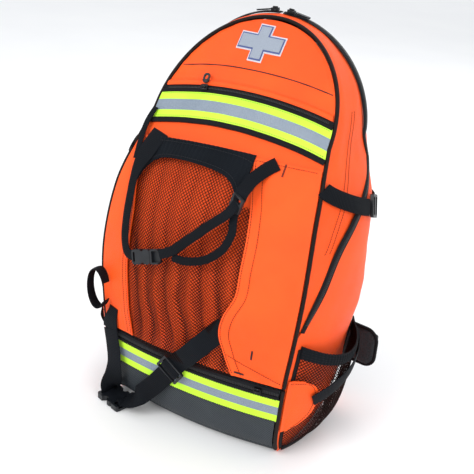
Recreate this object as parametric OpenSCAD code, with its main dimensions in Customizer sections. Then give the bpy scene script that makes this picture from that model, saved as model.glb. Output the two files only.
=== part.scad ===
// Emergency medical backpack: a clamshell pack with a padded harness, a mesh
// pocket held by two wings on its front, reflective tapes and side bottle pockets.
// X is the width, -Y faces the front, +Y the wearer's back, Z is up.
// The origin is the centre of the flat base.

/* [Pack] */
// Height of the pack
pack_h = 558; // [550:1:566]
// Half of the front panel's widest width
half_w = 156; // [153:0.5:158]
// Radius of the arch over the top of the front panel
arch_r = 133; // [131:0.5:135]
// How far the front panel bows out at its middle, as a share of its nominal bow
bow = 1; // [0.9:0.05:1.05]
// Thickness of the padded fabric walls
wall = 3.6; // [3:0.1:4]

/* [Opening] */
// Height of the seam where the front lid folds down
hinge_z = 118; // [117:0.5:119]
// Plane of the main zip where it runs over the top
zip_y = 76; // [74:1:77]
// Width of the zip tapes
zip_w = 13; // [12:0.5:14]

/* [Straps] */
// Width of the narrow webbing
web_s = 25; // [23:1:25]
// Width of the wide webbing
web_l = 38; // [36:1:38]
// Thickness of the webbing
web_t = 1.4; // [1.2:0.1:1.6]
// Width of the thin webbing over the mesh pocket
web_p = 13; // [12:1:14]
// Width of the reflective tapes
tape_w = 38; // [36:1:40]

/* [Buckles] */
// Clearance between the two halves of a side-release buckle
play = 0.4; // [0.35:0.05:0.5]

/* [Hidden] */
$fn = 32;

arch_z = pack_h - arch_r;          // centre height of the arch
gap = 0.6;                         // room between pieces that lie on each other
edge = 4.5;                        // room for the piping at a panel's edge

// Outlines: each pair is a height and a value there
HALF_WIDTH = [[0, 0.87 * half_w], [60, 0.905 * half_w], [120, 0.936 * half_w],
    [200, 0.987 * half_w], [260, half_w], [340, 0.962 * half_w], [arch_z, arch_r]];
FRONT_EDGE = [[0, -86], [30, -100], [80, -106], [150, -108], [240, -103], [330, -81],
    [385, -50], [430, -21], [480, 11], [520, 36], [545, 52], [558, 60]];
FRONT_BOW = [[0, 16], [110, 15], [250, 21], [400, 12], [500, 10], [558, 2]];
BACK_EDGE = [[0, 96], [60, 101], [380, 107], [450, 105], [520, 98], [558, 92]];
SIDE_BOW = [[0, 8], [60, 20], [150, 28], [250, 31], [350, 26], [430, 9], [500, 7],
    [558, 6]];
ZIP_DEPTH = [[198, 0.025], [215, 0.045], [257, 0.12], [306, 0.22], [339, 0.39],
    [370, 0.62], [395, (zip_y + 44) / 151]];

// ---- Curves and surfaces ----

function unit(v) = v / norm(v);
function mix(a, b, t) = a + (b - a) * t;
function steps(a, b, n) = [for (i = [0:n]) a + (b - a) * i / n];

// Smooth curve through a table of pairs
function slope(T, i) = let (n = len(T) - 1, a = max(i - 1, 0), b = min(i + 1, n))
    (T[b][1] - T[a][1]) / (T[b][0] - T[a][0]);
function seat(T, z, i = 0) = i >= len(T) - 2 || z < T[i + 1][0] ? i : seat(T, z, i + 1);
function curve(T, z) = let (i = seat(T, z), h = T[i + 1][0] - T[i][0],
    s = min(max((z - T[i][0]) / h, 0), 1), q = s * s, c = q * s)
    (2 * c - 3 * q + 1) * T[i][1] + (c - 2 * q + s) * h * slope(T, i)
    + (3 * q - 2 * c) * T[i + 1][1] + (c - q) * h * slope(T, i + 1);

function half_width(z, inset = 0) = z < arch_z ? curve(HALF_WIDTH, z) - inset
    : sqrt(max(pow(arch_r - inset, 2) - pow(z - arch_z, 2), 0));
function front_y(x, z) = curve(FRONT_EDGE, z) - bow * curve(FRONT_BOW, z)
    * (1 - pow(min(abs(x) / half_width(min(z, pack_h - 4)), 1.3), 2));
// Point on the front surface, d above it
function front_at(x, z, d) = let (e = 1,
    n = unit([(front_y(x + e, z) - front_y(x - e, z)) / (2 * e), -1,
        (front_y(x, z + e) - front_y(x, z - e)) / (2 * e)]))
    [x, front_y(x, z), z] + d * n;
function front_n(x, z) = unit(front_at(x, z, 1) - front_at(x, z, 0));

// Right side: v is 0 at the front edge and 1 at the back edge. Above the arch's
// centre, q - arch_z is the angle round the arch.
function side_z(q) = q < arch_z ? q : arch_z + arch_r * sin(q - arch_z);
function side_raw(q, v) = let (z = side_z(q), f = q < arch_z ? half_width(z) : arch_r,
    r = f * (1 - 0.04 * v) + curve(SIDE_BOW, z) * 4 * v * (1 - v),
    y = mix(curve(FRONT_EDGE, z), curve(BACK_EDGE, z), v))
    q < arch_z ? [r, y, z] : [r * cos(q - arch_z), y, arch_z + r * sin(q - arch_z)];
function side_n(q, v) = unit(cross(side_raw(q, v + 0.01) - side_raw(q, v - 0.01),
    side_raw(q + 0.5, v) - side_raw(q - 0.5, v)));
function side_at(q, v, d) = side_raw(q, v) + d * side_n(q, v);
function depth_at(q) = let (z = side_z(q)) curve(BACK_EDGE, z) - curve(FRONT_EDGE, z);
// Where the main zip crosses the side, as a share of its depth
function zip_v(q) = let (z = side_z(q)) q < 395 ? curve(ZIP_DEPTH, max(q, 198))
    : (zip_y - curve(FRONT_EDGE, z)) / depth_at(q);

// ---- Solids from surfaces ----

// Closed slab between two grids of points with the same rows and columns
module slab(P, Q) {
    m = len(P);
    n = len(P[0]);
    s = m * n;
    function at(i, j) = i * n + j;
    faces = concat(
        [for (i = [0:m - 2], j = [0:n - 2], k = [0, 1])
            k == 0 ? [at(i, j), at(i + 1, j), at(i + 1, j + 1)]
            : [at(i, j), at(i + 1, j + 1), at(i, j + 1)]],
        [for (i = [0:m - 2], j = [0:n - 2], k = [0, 1])
            k == 0 ? [s + at(i, j), s + at(i + 1, j + 1), s + at(i + 1, j)]
            : [s + at(i, j), s + at(i, j + 1), s + at(i + 1, j + 1)]],
        [for (i = [0:m - 2]) [at(i + 1, 0), at(i, 0), s + at(i, 0), s + at(i + 1, 0)]],
        [for (i = [0:m - 2]) [at(i, n - 1), at(i + 1, n - 1), s + at(i + 1, n - 1),
            s + at(i, n - 1)]],
        [for (j = [0:n - 2]) [at(0, j), at(0, j + 1), s + at(0, j + 1), s + at(0, j)]],
        [for (j = [0:n - 2]) [at(m - 1, j + 1), at(m - 1, j), s + at(m - 1, j),
            s + at(m - 1, j + 1)]]);
    polyhedron(concat([for (r = P) each r], [for (r = Q) each r]), faces);
}

// Patch of the front surface from height low to high; xa and xb give its side edges
// at a height, and d0 and d1 the offsets of its inner and outer faces
module front_patch(low, high, rows, cols, xa, xb, d0, d1) {
    function grid(d) = [for (z = steps(low, high, rows))
        [for (t = steps(0, 1, cols)) front_at(mix(xa(z), xb(z), t), z, d)]];
    slab(grid(d1), grid(d0));
}

// Patch of the side over the given rows; va and vb give its front and back edges
module side_patch(rows, cols, va, vb, d0, d1) {
    function grid(d) = [for (q = rows)
        [for (t = steps(0, 1, cols)) side_at(q, mix(va(q), vb(q), t), d)]];
    slab(grid(d1), grid(d0));
}

// Flat strap along a route of [point, normal] pairs, lying on the route
module strap(route, w, t) {
    n = len(route) - 1;
    function along(i) = unit(route[min(i + 1, n)][0] - route[max(i - 1, 0)][0]);
    function across(i) = unit(cross(along(i), route[i][1])) * w / 2;
    function row(i, h) = [for (s = [-1, 1]) route[i][0] + s * across(i)
        + h * unit(cross(across(i), along(i)))];
    slab([for (i = [0:n]) row(i, t)], [for (i = [0:n]) row(i, 0)]);
}

// Round cord along a route
module tube(route, r, sides = 8) {
    n = len(route) - 1;
    function along(i) = unit(route[min(i + 1, n)] - route[max(i - 1, 0)]);
    function ring(i) = let (u = unit(cross(along(i), [0.02, 1, 0.03])),
        v = cross(along(i), u))
        [for (k = [0:sides - 1]) route[i] + r * (u * cos(k * 360 / sides)
            + v * sin(k * 360 / sides))];
    polyhedron([for (i = [0:n]) each ring(i)], concat(
        [[for (k = [0:sides - 1]) k]],
        [[for (k = [sides - 1:-1:0]) n * sides + k]],
        [for (i = [0:n - 1], k = [0:sides - 1]) let (m = (k + 1) % sides)
            [i * sides + k, (i + 1) * sides + k, (i + 1) * sides + m, i * sides + m]]));
}

// Smooth route over the front surface through [x, z, d] points
function bend(A, i, t) = let (n = len(A) - 1, a = A[max(i - 1, 0)], b = A[i],
    c = A[min(i + 1, n)], d = A[min(i + 2, n)], m = (c - a) / 2, k = (d - b) / 2,
    q = t * t, e = q * t)
    (2 * e - 3 * q + 1) * b + (e - 2 * q + t) * m + (3 * q - 2 * e) * c + (e - q) * k;
function smooth(A, n = 3) = concat([for (i = [0:len(A) - 2], t = steps(0, 1 - 1 / n, n - 1))
    bend(A, i, t)], [A[len(A) - 1]]);
function front_route(A, n = 3) = [for (a = smooth(A, n))
    [front_at(a[0], a[1], a[2]), front_n(a[0], a[1])]];
function side_route(A, n = 3) = [for (a = smooth(A, n))
    [side_at(a[0], a[1], a[2]), side_n(a[0], a[1])]];

// Puts children at p, their +Z along n and their +X as near to x as it can be
module place(p, n, x) {
    w = unit(n);
    u = unit(x - w * (x * w));
    v = cross(w, u);
    multmatrix([[u[0], v[0], w[0], p[0]], [u[1], v[1], w[1], p[1]],
        [u[2], v[2], w[2], p[2]], [0, 0, 0, 1]]) children();
}

// Rounded plate, centred, w by h, t thick, from z = 0 up
module plate(w, h, t, r) {
    linear_extrude(t) union() {
        square([w - 2 * r, h], center = true);
        square([w, h - 2 * r], center = true);
        for (x = [-1, 1], y = [-1, 1])
            translate([x * (w / 2 - r), y * (h / 2 - r)]) circle(r);
    }
}

// ---- Buckles and sliders ----

buckle_t = 8;                      // thickness of a buckle
function socket_len(w) = w * 1.15;
function tongue_len(w) = w * 0.55;
function buckle_wide(w) = w + (w < 16 ? 7 : 9);

// Socket half: its mouth faces +X at x = 0, with a webbing bar at its far end
module socket(w, long) {
    wide = buckle_wide(w);
    difference() {
        translate([-long / 2, 0, 0]) plate(long, wide, buckle_t, 4);
        translate([-long + 9, -w / 2 + 1, 2.2]) cube([long, w - 2, buckle_t - 4.4]);
        for (s = [-1, 1])
            translate([-long * 0.42, s * wide / 2, -1]) cylinder(r = w * 0.2,
                h = buckle_t + 2);
        translate([-long + 2.5, -w / 2, -1]) cube([3, w, buckle_t + 2]);
    }
}

// Tongue half: its body runs from x = 0.5 to +X and its prongs reach into the socket.
// The webbing passes over its bar through a slot that is open on top.
module tongue(w, long) {
    prong = w * 0.62;
    bar = w * 0.2;                 // width of a prong
    z0 = 2.2 + play;
    thick = buckle_t - 4.4 - 2 * play;
    difference() {
        translate([0.5 + long / 2, 0, 0]) plate(long, buckle_wide(w), buckle_t, 3);
        translate([3.5, -w / 2 - 1, buckle_t - 4.4]) cube([long, w + 2, 6]);
    }
    for (s = [-1, 1]) translate([-prong, s * (w / 2 - bar) - bar / 2, z0])
        cube([prong + 2, bar, thick]);
    translate([-prong * 0.8, -bar / 2, z0]) cube([prong * 0.8 + 2, bar, thick]);
}

// Frame with one bar: a ladder lock or a tri-glide, lying on z = 0
module bar_frame(w, long, t) {
    difference() {
        plate(long, w + 8, t, 2.5);
        for (s = [-1, 1]) translate([s * long / 4, 0, t / 2])
            cube([long / 2 - 4.5, w + 0.8, t + 2], center = true);
    }
}

// Zip slider body: a low saddle that lies on z = 0, its nose towards +X
module slider_body() {
    difference() {
        plate(11, 8, 3.4, 2);
        translate([0, 0, 3.4]) cube([4, 3, 2], center = true);
    }
    translate([0, 0, 4.3]) cube([7, 2, 2], center = true);
}

// ---- Base and shell ----

base_edge = edge + 1;
base_t = 4;

function base_outline(inset) = concat(
    [for (x = steps(-1, 1, 12)) let (w = half_width(0) - inset)
        [w * x, front_y(w * x, 0) + inset]],
    [for (v = steps(0.05, 0.95, 6)) let (p = side_raw(0, v)) [p[0] - inset, p[1]]],
    [for (x = steps(0.9, -0.9, 2)) [(half_width(0) - inset) * x, BACK_EDGE[0][1] - inset]],
    [for (v = steps(0.95, 0.05, 6)) let (p = side_raw(0, v)) [inset - p[0], p[1]]]);

module base_panel() {
    color([0.2, 0.23, 0.26]) linear_extrude(base_t) polygon(base_outline(base_edge));
}

module base_board() {
    color([0.85, 0.85, 0.82]) translate([0, 0, base_t + gap]) linear_extrude(3)
        polygon(base_outline(base_edge + 9));
}

module boot_front() {
    color([0.2, 0.23, 0.26]) front_patch(0, hinge_z - 1.5, 6, 14,
        function(z) edge - half_width(z), function(z) half_width(z) - edge, -wall, 0);
}

lower_tape_z = 84;
module lower_tape() {
    color([0.84, 1, 0.3]) front_patch(lower_tape_z - tape_w / 2, lower_tape_z + tape_w / 2,
        3, 14, function(z) edge - half_width(z), function(z) half_width(z) - edge,
        0.3, 1.5);
}

seam = 1.5;                        // half of the gap that a zip covers
lid_rows = steps(226, arch_z - 0.5, 12);
arch_rows = steps(arch_z + 0.5, arch_z + 179.5, 20);
module side_shell() {
    color([1, 0.4, 0.16]) side_patch(concat(steps(2, 200, 8), lid_rows), 8,
        function(q) (q < 210 ? edge / depth_at(q) : zip_v(q) + seam / depth_at(q)),
        function(q) 1 - 4 / depth_at(q), -wall, 0);
}

module side_right() side_shell();
module side_left() mirror([1, 0, 0]) side_shell();

module crown_rear() {
    color([1, 0.4, 0.16]) side_patch(arch_rows, 3,
        function(q) zip_v(q) + seam / depth_at(q), function(q) 1 - 4 / depth_at(q), -wall, 0);
}

module gusset_shell() {
    color([1, 0.4, 0.16]) side_patch(lid_rows, 5,
        function(q) edge / depth_at(q), function(q) zip_v(q) - seam / depth_at(q), -wall, 0);
}

module gusset_right() gusset_shell();
module gusset_left() mirror([1, 0, 0]) gusset_shell();

module crown_front() {
    color([1, 0.4, 0.16]) side_patch(arch_rows, 4,
        function(q) edge / depth_at(q), function(q) zip_v(q) - seam / depth_at(q), -wall, 0);
}

// Panel with an arched top, which ends in a short level edge
module arch_panel(low, y_out, y_in, inset) {
    function grid(f) = [for (z = concat(steps(low, arch_z, 10),
        [for (a = steps(12, 84, 7)) arch_z + (arch_r - inset) * sin(a)]))
        [for (u = steps(-1, 1, 12)) f(u * half_width(z, inset), z)]];
    slab(grid(y_out), grid(y_in));
}

module front_panel() {
    color([1, 0.4, 0.16]) arch_panel(hinge_z + 2, function(x, z) front_at(x, z, 0),
        function(x, z) front_at(x, z, -wall), edge);
}

// The back panel faces the other way, so its faces swap
module back_sheet(low, d0, d1, inset) {
    function back(x, z, d) = [x, curve(BACK_EDGE, z) + d, z];
    arch_panel(low, function(x, z) back(x, z, d0), function(x, z) back(x, z, d1), inset);
}

back_inset = 10;
module back_panel() {
    color([0.1, 0.11, 0.12]) back_sheet(2, -3, 0, back_inset);
}

module frame_sheet() {
    color([0.9, 0.9, 0.88]) back_sheet(20, -6, -3.6, back_inset + 10);
}

module inner_divider() {
    color([0.25, 0.27, 0.3]) translate([0, -8, 112]) linear_extrude(4)
        square([260, 185], center = true);
}

// ---- Harness ----

pad_y = 108.4;
pad_t = 13;
module pad(w, h, z) {
    translate([0, pad_y, z]) rotate([-90, 0, 0]) plate(w, h, pad_t, 24);
}

module back_pad() {
    color([0.12, 0.13, 0.14]) pad(220, 330, 318);
}

module lumbar_pad() {
    color([0.12, 0.13, 0.14]) pad(162, 78, 98);
}

// Padded shoulder straps: points are [x, y, z], the pad lies on their +Y side
SHOULDER = [[46, 110, 492], [50, 128, 484], [55, 146, 462], [62, 154, 430],
    [70, 155, 380], [77, 150, 330], [83, 142, 285], [87, 136, 262]];
module shoulder_pad() {
    color([0.1, 0.11, 0.12]) strap([for (p = smooth(SHOULDER, 2))
        [p, unit([0, 1, p[2] > 464 ? 0.9 : 0.05])]], 62, 11);
}

module shoulder_strap_right() mirror([1, 0, 0]) shoulder_strap_left();
module shoulder_strap_left() mirror([1, 0, 0]) shoulder_pad();

// Webbing from the shoulder pad's end down to the base corner
SHOULDER_WEB = [[89, 138, 236], [93, 131, 190], [96, 122, 135], [98, 112, 72],
    [98, 108.5, 36]];
module shoulder_web() {
    color([0.06, 0.07, 0.09]) strap([for (p = smooth(SHOULDER_WEB, 3))
        [p, [0.1, 1, 0.1]]], web_s, web_t);
}

module shoulder_webbing() {
    for (s = [0, 1]) mirror([s, 0, 0]) shoulder_web();
}

module shoulder_locks() {
    for (s = [0, 1]) mirror([s, 0, 0]) color([0.07, 0.08, 0.09])
        place([88, 139, 248], [0.1, 1, 0.15], [0.12, 0, -1]) bar_frame(web_s, 20, 5);
}

// ---- Zips and seams ----

function zip_route(d) = concat(
    [for (q = steps(214, arch_z - 4, 18)) [side_at(q, zip_v(q), d), side_n(q, zip_v(q))]],
    [for (a = steps(2, 88.8, 12)) let (r = arch_r + 3.9 + d)
        [[r * cos(a), zip_y, arch_z + r * sin(a)], [cos(a), 0, sin(a)]]]);

module main_zip_shape() {
    color([0.08, 0.08, 0.1]) strap(zip_route(gap), zip_w, 1.6);
}

module main_zip_right() main_zip_shape();
module main_zip_left() mirror([1, 0, 0]) main_zip_shape();

piping_r = 3;
module front_piping() {
    color([0.12, 0.08, 0.07]) tube(concat(
        [for (z = steps(hinge_z + 4, arch_z, 16)) [half_width(z), curve(FRONT_EDGE, z), z]],
        [for (a = steps(8, 172, 20)) let (z = arch_z + arch_r * sin(a))
            [arch_r * cos(a), curve(FRONT_EDGE, z), z]],
        [for (z = steps(arch_z, hinge_z + 4, 16)) [-half_width(z), curve(FRONT_EDGE, z),
            z]]), piping_r);
}

// Upper tape and the pocket zip above it follow one arc across the front
upper_rise = 16;                   // height of the arc over its ends
upper_r = (130 * 130 + upper_rise * upper_rise) / (2 * upper_rise);
function upper_arc(x) = sqrt(upper_r * upper_r - x * x) - upper_r;
module arc_band(middle, height, reach, d0, d1) {
    function grid(d) = [for (k = [-1, 0, 1]) [for (x = steps(-reach, reach, 16))
        front_at(x, middle + upper_arc(x) + k * height / 2, d)]];
    slab(grid(d1), grid(d0));
}

module upper_tape() {
    color([0.84, 1, 0.3]) arc_band(445, 31, 126, gap, 1.8);
}

upper_zip_z = 466;
module upper_zip() {
    color([0.08, 0.08, 0.1]) arc_band(upper_zip_z, 9, 121, gap, 1.8);
}

base_zip_z = 110.5;
module base_zip() {
    color([0.08, 0.08, 0.1]) front_patch(base_zip_z - 5, base_zip_z + 5, 1, 14,
        function(z) edge - half_width(z), function(z) half_width(z) - edge, 0.3, 1.5);
}

// Generic medical mark: a plain cross on a shield-shaped patch
patch_x = -6;
patch_z = 526;
module medical_patch() {
    color([0.62, 0.65, 0.7]) place(front_at(patch_x, patch_z, 1.2),
        front_n(patch_x, patch_z), [1, 0, 0]) union() {
            plate(66, 20, 1.6, 3);
            plate(21, 42, 1.6, 3);
        }
}

// ---- Front pocket: mesh between two wings ----

// Inner edges of the wings
WING_RIGHT = [[122, 74], [154, 60], [180, 52], [205, 56], [238, 70], [272, 71], [310, 70],
    [344, 64], [371, 54], [404, 44]];
WING_LEFT = [[120, -89], [161, -96], [220, -102], [269, -105], [315, -109], [357, -118],
    [396, -125]];
pocket_low = 122;
pocket_high = 400;
mesh_high = 364;
mesh_rise = 10;                    // how far the mesh stands off the panel at its middle

module mesh_panel() {
    function grid(d) = [for (z = steps(pocket_low, mesh_high, 14)) [for (t = steps(0, 1, 12))
        front_at(mix(curve(WING_LEFT, z) + 1, curve(WING_RIGHT, z) - 1, t), z,
            d + mesh_rise * pow(sin(180 * t), 0.7))]];
    color([0.35, 0.12, 0.07]) slab(grid(2), grid(gap));
}

// Woven band along the mesh's top edge, with a gusset at each corner
hem_left = -117;
hem_right = 47;
module mesh_hem() {
    function lower_edge(t) = mesh_high + 3 - 26 * pow(abs(2 * t - 1), 5);
    function grid(d) = [for (k = steps(1, 0, 3)) [for (t = steps(0, 1, 16))
        front_at(mix(hem_left, hem_right, t), mix(lower_edge(t), pocket_high + 2, 1 - k),
            d + mesh_rise * pow(sin(180 * t), 0.7) + 2 * k)]];
    color([0.07, 0.08, 0.09]) slab(grid(6.8), grid(5));
}

module wing(low, high, xa, xb) {
    color([1, 0.4, 0.16]) front_patch(low, high, 14, 5, xa, xb, gap, 2.6);
}

module wing_right() {
    wing(pocket_low, pocket_high, function(z) curve(WING_RIGHT, z),
        function(z) half_width(z) - edge - 1);
}

module wing_left() {
    wing(pocket_low, pocket_high - 8, function(z) edge + 1 - half_width(z),
        function(z) curve(WING_LEFT, z));
}

// ---- Straps on the front ----

buckle_turn = 17;                  // slope of the upper buckle
upper_mouth = [-50, 259];          // where its two halves meet
upper_rest = 14.5;                 // its height over the front surface
module at_upper_buckle() {
    place(front_at(upper_mouth[0], upper_mouth[1], upper_rest),
        front_n(upper_mouth[0] + 12, upper_mouth[1]),
        [cos(buckle_turn), 0, sin(buckle_turn)]) children();
}

UPPER_LEFT = [[-114, 346, 11], [-111, 318, 11], [-108, 292, 11.5], [-103, 268, 13.5],
    [-94, 252, 15.5]];
UPPER_RIGHT = [[37, 330, 17], [22, 314, 18.5], [0, 292, 21], [-19, 273, 21.6]];
UPPER_TAIL = [[51, 328, 12.5], [53, 312, 12.5], [46, 292, 14.5], [27, 276, 16.5],
    [2, 268, 16.5]];
UPPER_TAB = [[78, 398, 4.2], [66, 388, 5.6], [56, 370, 14]];
module upper_strap() {
    color([0.06, 0.07, 0.09]) {
        strap(front_route(UPPER_LEFT), web_p, web_t);
        strap(front_route(UPPER_RIGHT), web_p, web_t);
        strap(front_route(UPPER_TAIL), web_p - 2, web_t);
        strap(front_route(UPPER_TAB), web_s - 4, web_t);
    }
}

module upper_buckle_socket() {
    color([0.07, 0.08, 0.09]) at_upper_buckle() socket(web_p, 30);
}

module upper_buckle_tongue() {
    color([0.07, 0.08, 0.09]) at_upper_buckle() tongue(web_p, 14);
}

module upper_lock() {
    color([0.07, 0.08, 0.09]) place(front_at(52, 346, 18), [-0.4, -0.9, 0.1],
        [0.35, 0, 1]) bar_frame(web_p + 1, 22, 4);
}

// Wide strap that hangs slack to a buckle on the floor in front of the base. Its two
// ends, on the wings' low corners, fold with the lid.
LOWER_LEFT = [[-130, 109, 6], [-123, 88, 8], [-119, 62, 11]];
LOWER_LEFT_END = [[[-124, -118, 40], [0.15, -1, 0]], [[-130, -116.5, 25], [0.55, -0.8, 0.1]],
    [[-136, -113.3, 12.4], [0.95, -0.28, 0.1]]];
LOWER_RIGHT_END = [[[-98, -123.5, 15], [-0.2, -0.2, 1]], [[-83, -127, 19], [-0.5, -0.4, 0.8]],
    [[-74, -128.5, 28], [-0.45, -0.75, 0.5]]];
LOWER_RIGHT = [[-62, 42, 12], [-46, 60, 8], [-30, 82, 5], [-8, 112, 4.6]];
LOWER_ENDS = [[[-126, 140, 3.6], [-129, 130, 4], [-131, 120.5, 4.8]],
    [[44, 172, 11], [24, 150, 13.4], [6, 127, 13]]];
// Small pull loop that stands at the left wing's edge
SIDE_LOOP = [for (a = steps(-62, 242, 12)) let (x = -149 - 17 * sin(a), z = 178 - 29 * cos(a))
    [front_at(x, z, 12.5), [-sin(a), 0, -cos(a)]]];
lower_mouth = [-108, -121, 1.2];
lower_turn = -16.3;
module at_lower_buckle() {
    place(lower_mouth, [0, 0, 1], [cos(lower_turn), sin(lower_turn), 0]) children();
}

module lower_strap() {
    color([0.06, 0.07, 0.09]) {
        strap(concat(front_route(LOWER_LEFT), LOWER_LEFT_END), web_l - 8, web_t);
        strap(concat(LOWER_RIGHT_END, front_route(LOWER_RIGHT)), web_l - 8, web_t);
    }
}

module lower_strap_ends() {
    color([0.06, 0.07, 0.09]) {
        for (route = LOWER_ENDS) strap(front_route(route), web_l - 8, web_t);
        strap(SIDE_LOOP, 15, web_t);
    }
}

module lower_buckle_socket() {
    color([0.07, 0.08, 0.09]) at_lower_buckle()
        socket(web_l - 9, socket_len(web_l - 9));
}

module lower_buckle_tongue() {
    color([0.07, 0.08, 0.09]) at_lower_buckle()
        tongue(web_l - 9, tongue_len(web_l - 9));
}

module lower_slider() {
    color([0.07, 0.08, 0.09]) place(front_at(-17, 99, 6.8), front_n(-17, 99), [26, 0, 36])
        bar_frame(web_l - 7, 24, 4);
}

// ---- Side pockets and side straps ----

pocket_front = 0.05;
pocket_back = 0.8;
pocket_bulge = 26;
function hem_z(t) = 186 - 30 * t - 14 * sin(180 * t);
function pocket_d(t, h) = 1.5 + pocket_bulge * pow(sin(180 * t), 0.8)
    * sqrt(max(sin(min(h * 1.35, 1) * 90), 0)) * (1 - 0.25 * h * h);
module pocket_shell(from, to, d0, d1, rows) {
    function grid(d) = [for (h = steps(from, to, rows)) [for (t = steps(0, 1, 12))
        side_at(mix(5, hem_z(t), h), mix(pocket_front, pocket_back, t),
            d + pocket_d(t, h))]];
    slab(grid(d1), grid(d0));
}

module bottle_pocket_right() {
    color([0.55, 0.2, 0.1]) pocket_shell(0, 0.9, 0, 1.4, 10);
}

module bottle_pocket_left() mirror([1, 0, 0]) bottle_pocket_right();

module pocket_hems() {
    for (s = [0, 1]) mirror([s, 0, 0])
        color([0.07, 0.08, 0.09]) pocket_shell(0.91, 1, 0, 2, 2);
}

// Patch sewn over each pocket's front corner
CORNER_TAB = [[50, 0.06], [62, 0.13], [80, 0.19], [108, 0.2], [124, 0.17], [132, 0.1]];
module corner_tabs() {
    function at(q, v, d) = let (t = max((v - pocket_front) / (pocket_back - pocket_front), 0))
        side_at(q, v, d + pocket_d(t, (q - 5) / (hem_z(t) - 5)));
    function grid(d) = [for (q = steps(50, 132, 9)) [for (k = steps(0, 1, 5))
        at(q, mix(0.024, curve(CORNER_TAB, q), k), d)]];
    for (s = [0, 1]) mirror([s, 0, 0]) color([1, 0.4, 0.16]) slab(grid(3.6), grid(2));
}

// Webbing over each bottle pocket, and the tab behind each compression strap
POCKET_WEB = [[100, 0.13, 16.6], [106, 0.2, 22.2], [114, 0.3, 24.5], [123, 0.42, 26.7],
    [131, 0.55, 23.7], [137, 0.66, 17.5], [141, 0.75, 11.2], [143.5, 0.8, 5.4],
    [145, 0.86, 2.4]];
LOCK_TAB = [[330, 0.97, 1.5], [334, 0.86, 3], [338.5, 0.7, 5.5]];
module side_webbing() {
    for (s = [0, 1]) mirror([s, 0, 0]) color([0.06, 0.07, 0.09]) {
        strap(side_route(POCKET_WEB, 2), web_s - 3, web_t);
        strap(side_route(LOCK_TAB), web_s - 3, web_t);
    }
}

COMPRESSION = [[378, 0.03, 2.2], [370, 0.12, 3.2], [360, 0.26, 4.4], [350, 0.42, 5.2],
    [344, 0.53, 5.6]];
module compression_straps() {
    for (s = [0, 1]) mirror([s, 0, 0]) {
        color([0.06, 0.07, 0.09]) strap(side_route(COMPRESSION), web_s - 3, web_t);
        color([0.07, 0.08, 0.09]) place(side_at(341, 0.62, 5), side_n(341, 0.62),
            [0, 1, -0.35]) bar_frame(web_s - 2, 22, 5);
    }
}

// ---- Handle, zip sliders and harness parts that move ----

handle_y = 112;
handle_z = 540;
handle_half = 30;
handle_drop = 26;                  // from its fold down to the middle of the grip
module haul_handle() {
    color([0.06, 0.07, 0.09]) translate([0, handle_y, handle_z]) {
        for (s = [-1, 1]) translate([s * handle_half, 0, -handle_drop / 2])
            rotate([90, 0, 0]) plate(web_s - 5, handle_drop, 3, 1);
        translate([0, 0, -handle_drop]) rotate([90, 0, 0])
            plate(2 * handle_half + web_s - 5, 11, 3.4, 5);
    }
}

upper_slider_x = -62;
module upper_zip_slider() {
    z = upper_zip_z + upper_arc(upper_slider_x);
    color([0.3, 0.3, 0.32]) place(front_at(upper_slider_x, z, 2.6),
        front_n(upper_slider_x, z), [1, 0, 0.12]) slider_body();
}

module upper_zip_pull() {
    z = upper_zip_z + upper_arc(upper_slider_x) + 5.5;
    color([0.09, 0.1, 0.11]) place(front_at(upper_slider_x, z, 5.2),
        front_n(upper_slider_x, z), [1, 0, 0.12]) translate([0, 6, 0]) difference() {
            plate(10, 14, 2.4, 4.5);
            translate([0, 1, -1]) plate(5, 6, 5, 2.4);
        }
}

base_slider_x = 112;
module base_zip_slider() {
    color([0.3, 0.3, 0.32]) place(front_at(base_slider_x, base_zip_z, 2.4),
        front_n(base_slider_x, base_zip_z), [-1, 0, 0]) slider_body();
}

module main_slider(turn) {
    r = arch_r + 7;
    color([0.3, 0.3, 0.32]) translate([0, zip_y, arch_z]) rotate([0, turn, 0])
        translate([0, 0, r]) {
            slider_body();
            translate([17.5, 0, -0.6]) rotate([0, 6, 0]) plate(22, 6, 1.8, 2.5);
        }
}

module main_slider_right() main_slider(5);
module main_slider_left() mirror([1, 0, 0]) main_slider(5);

sternum_z = 400;
sternum_y = 167;                   // just behind the shoulder pads
sternum_w = 18;
module sternum_web() {
    color([0.06, 0.07, 0.09]) translate([40, sternum_y + web_t, sternum_z])
        rotate([90, 0, 0]) plate(68, sternum_w, web_t, 1);
}

module at_sternum() {
    translate([0, sternum_y + web_t + gap, sternum_z]) rotate([-90, 0, 0]) children();
}

module sternum_webbing_right() sternum_web();

module sternum_webbing_left() mirror([1, 0, 0]) sternum_web();

module sternum_socket() {
    color([0.07, 0.08, 0.09]) at_sternum() socket(sternum_w, socket_len(sternum_w));
}

module sternum_tongue() {
    color([0.07, 0.08, 0.09]) at_sternum() tongue(sternum_w, tongue_len(sternum_w));
}

hip_z = 92;
hip_x = 112;                       // where the wings fold, at each side of the back
hip_lean = 8;                      // how far they point forward at rest
hip_long = 76;
module at_hip() {
    translate([hip_x, 112, hip_z]) rotate([0, 0, -hip_lean]) rotate([-90, 0, 0])
        translate([4, 0, 0]) children();
}

module hip_wing_shape() {
    color([0.09, 0.1, 0.11]) at_hip() translate([hip_long / 2, 0, 0])
        plate(hip_long, 62, 11, 18);
}

module hip_wing_right() hip_wing_shape();

module hip_wing_left() mirror([1, 0, 0]) hip_wing_shape();

// Webbing along each wing's outer face, with one half of the hip buckle folded back on it
module hip_web(turn) {
    color([0.06, 0.07, 0.09]) at_hip() translate([hip_long / 2, 0, 11 + gap])
        plate(hip_long - 10, web_s, web_t, 1);
    color([0.07, 0.08, 0.09]) at_hip() translate([hip_long - 36, 0, 11 + 2 * gap + web_t])
        rotate([0, 0, turn]) children();
}

module hip_belt_right() hip_web(180) socket(web_s, socket_len(web_s));

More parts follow.
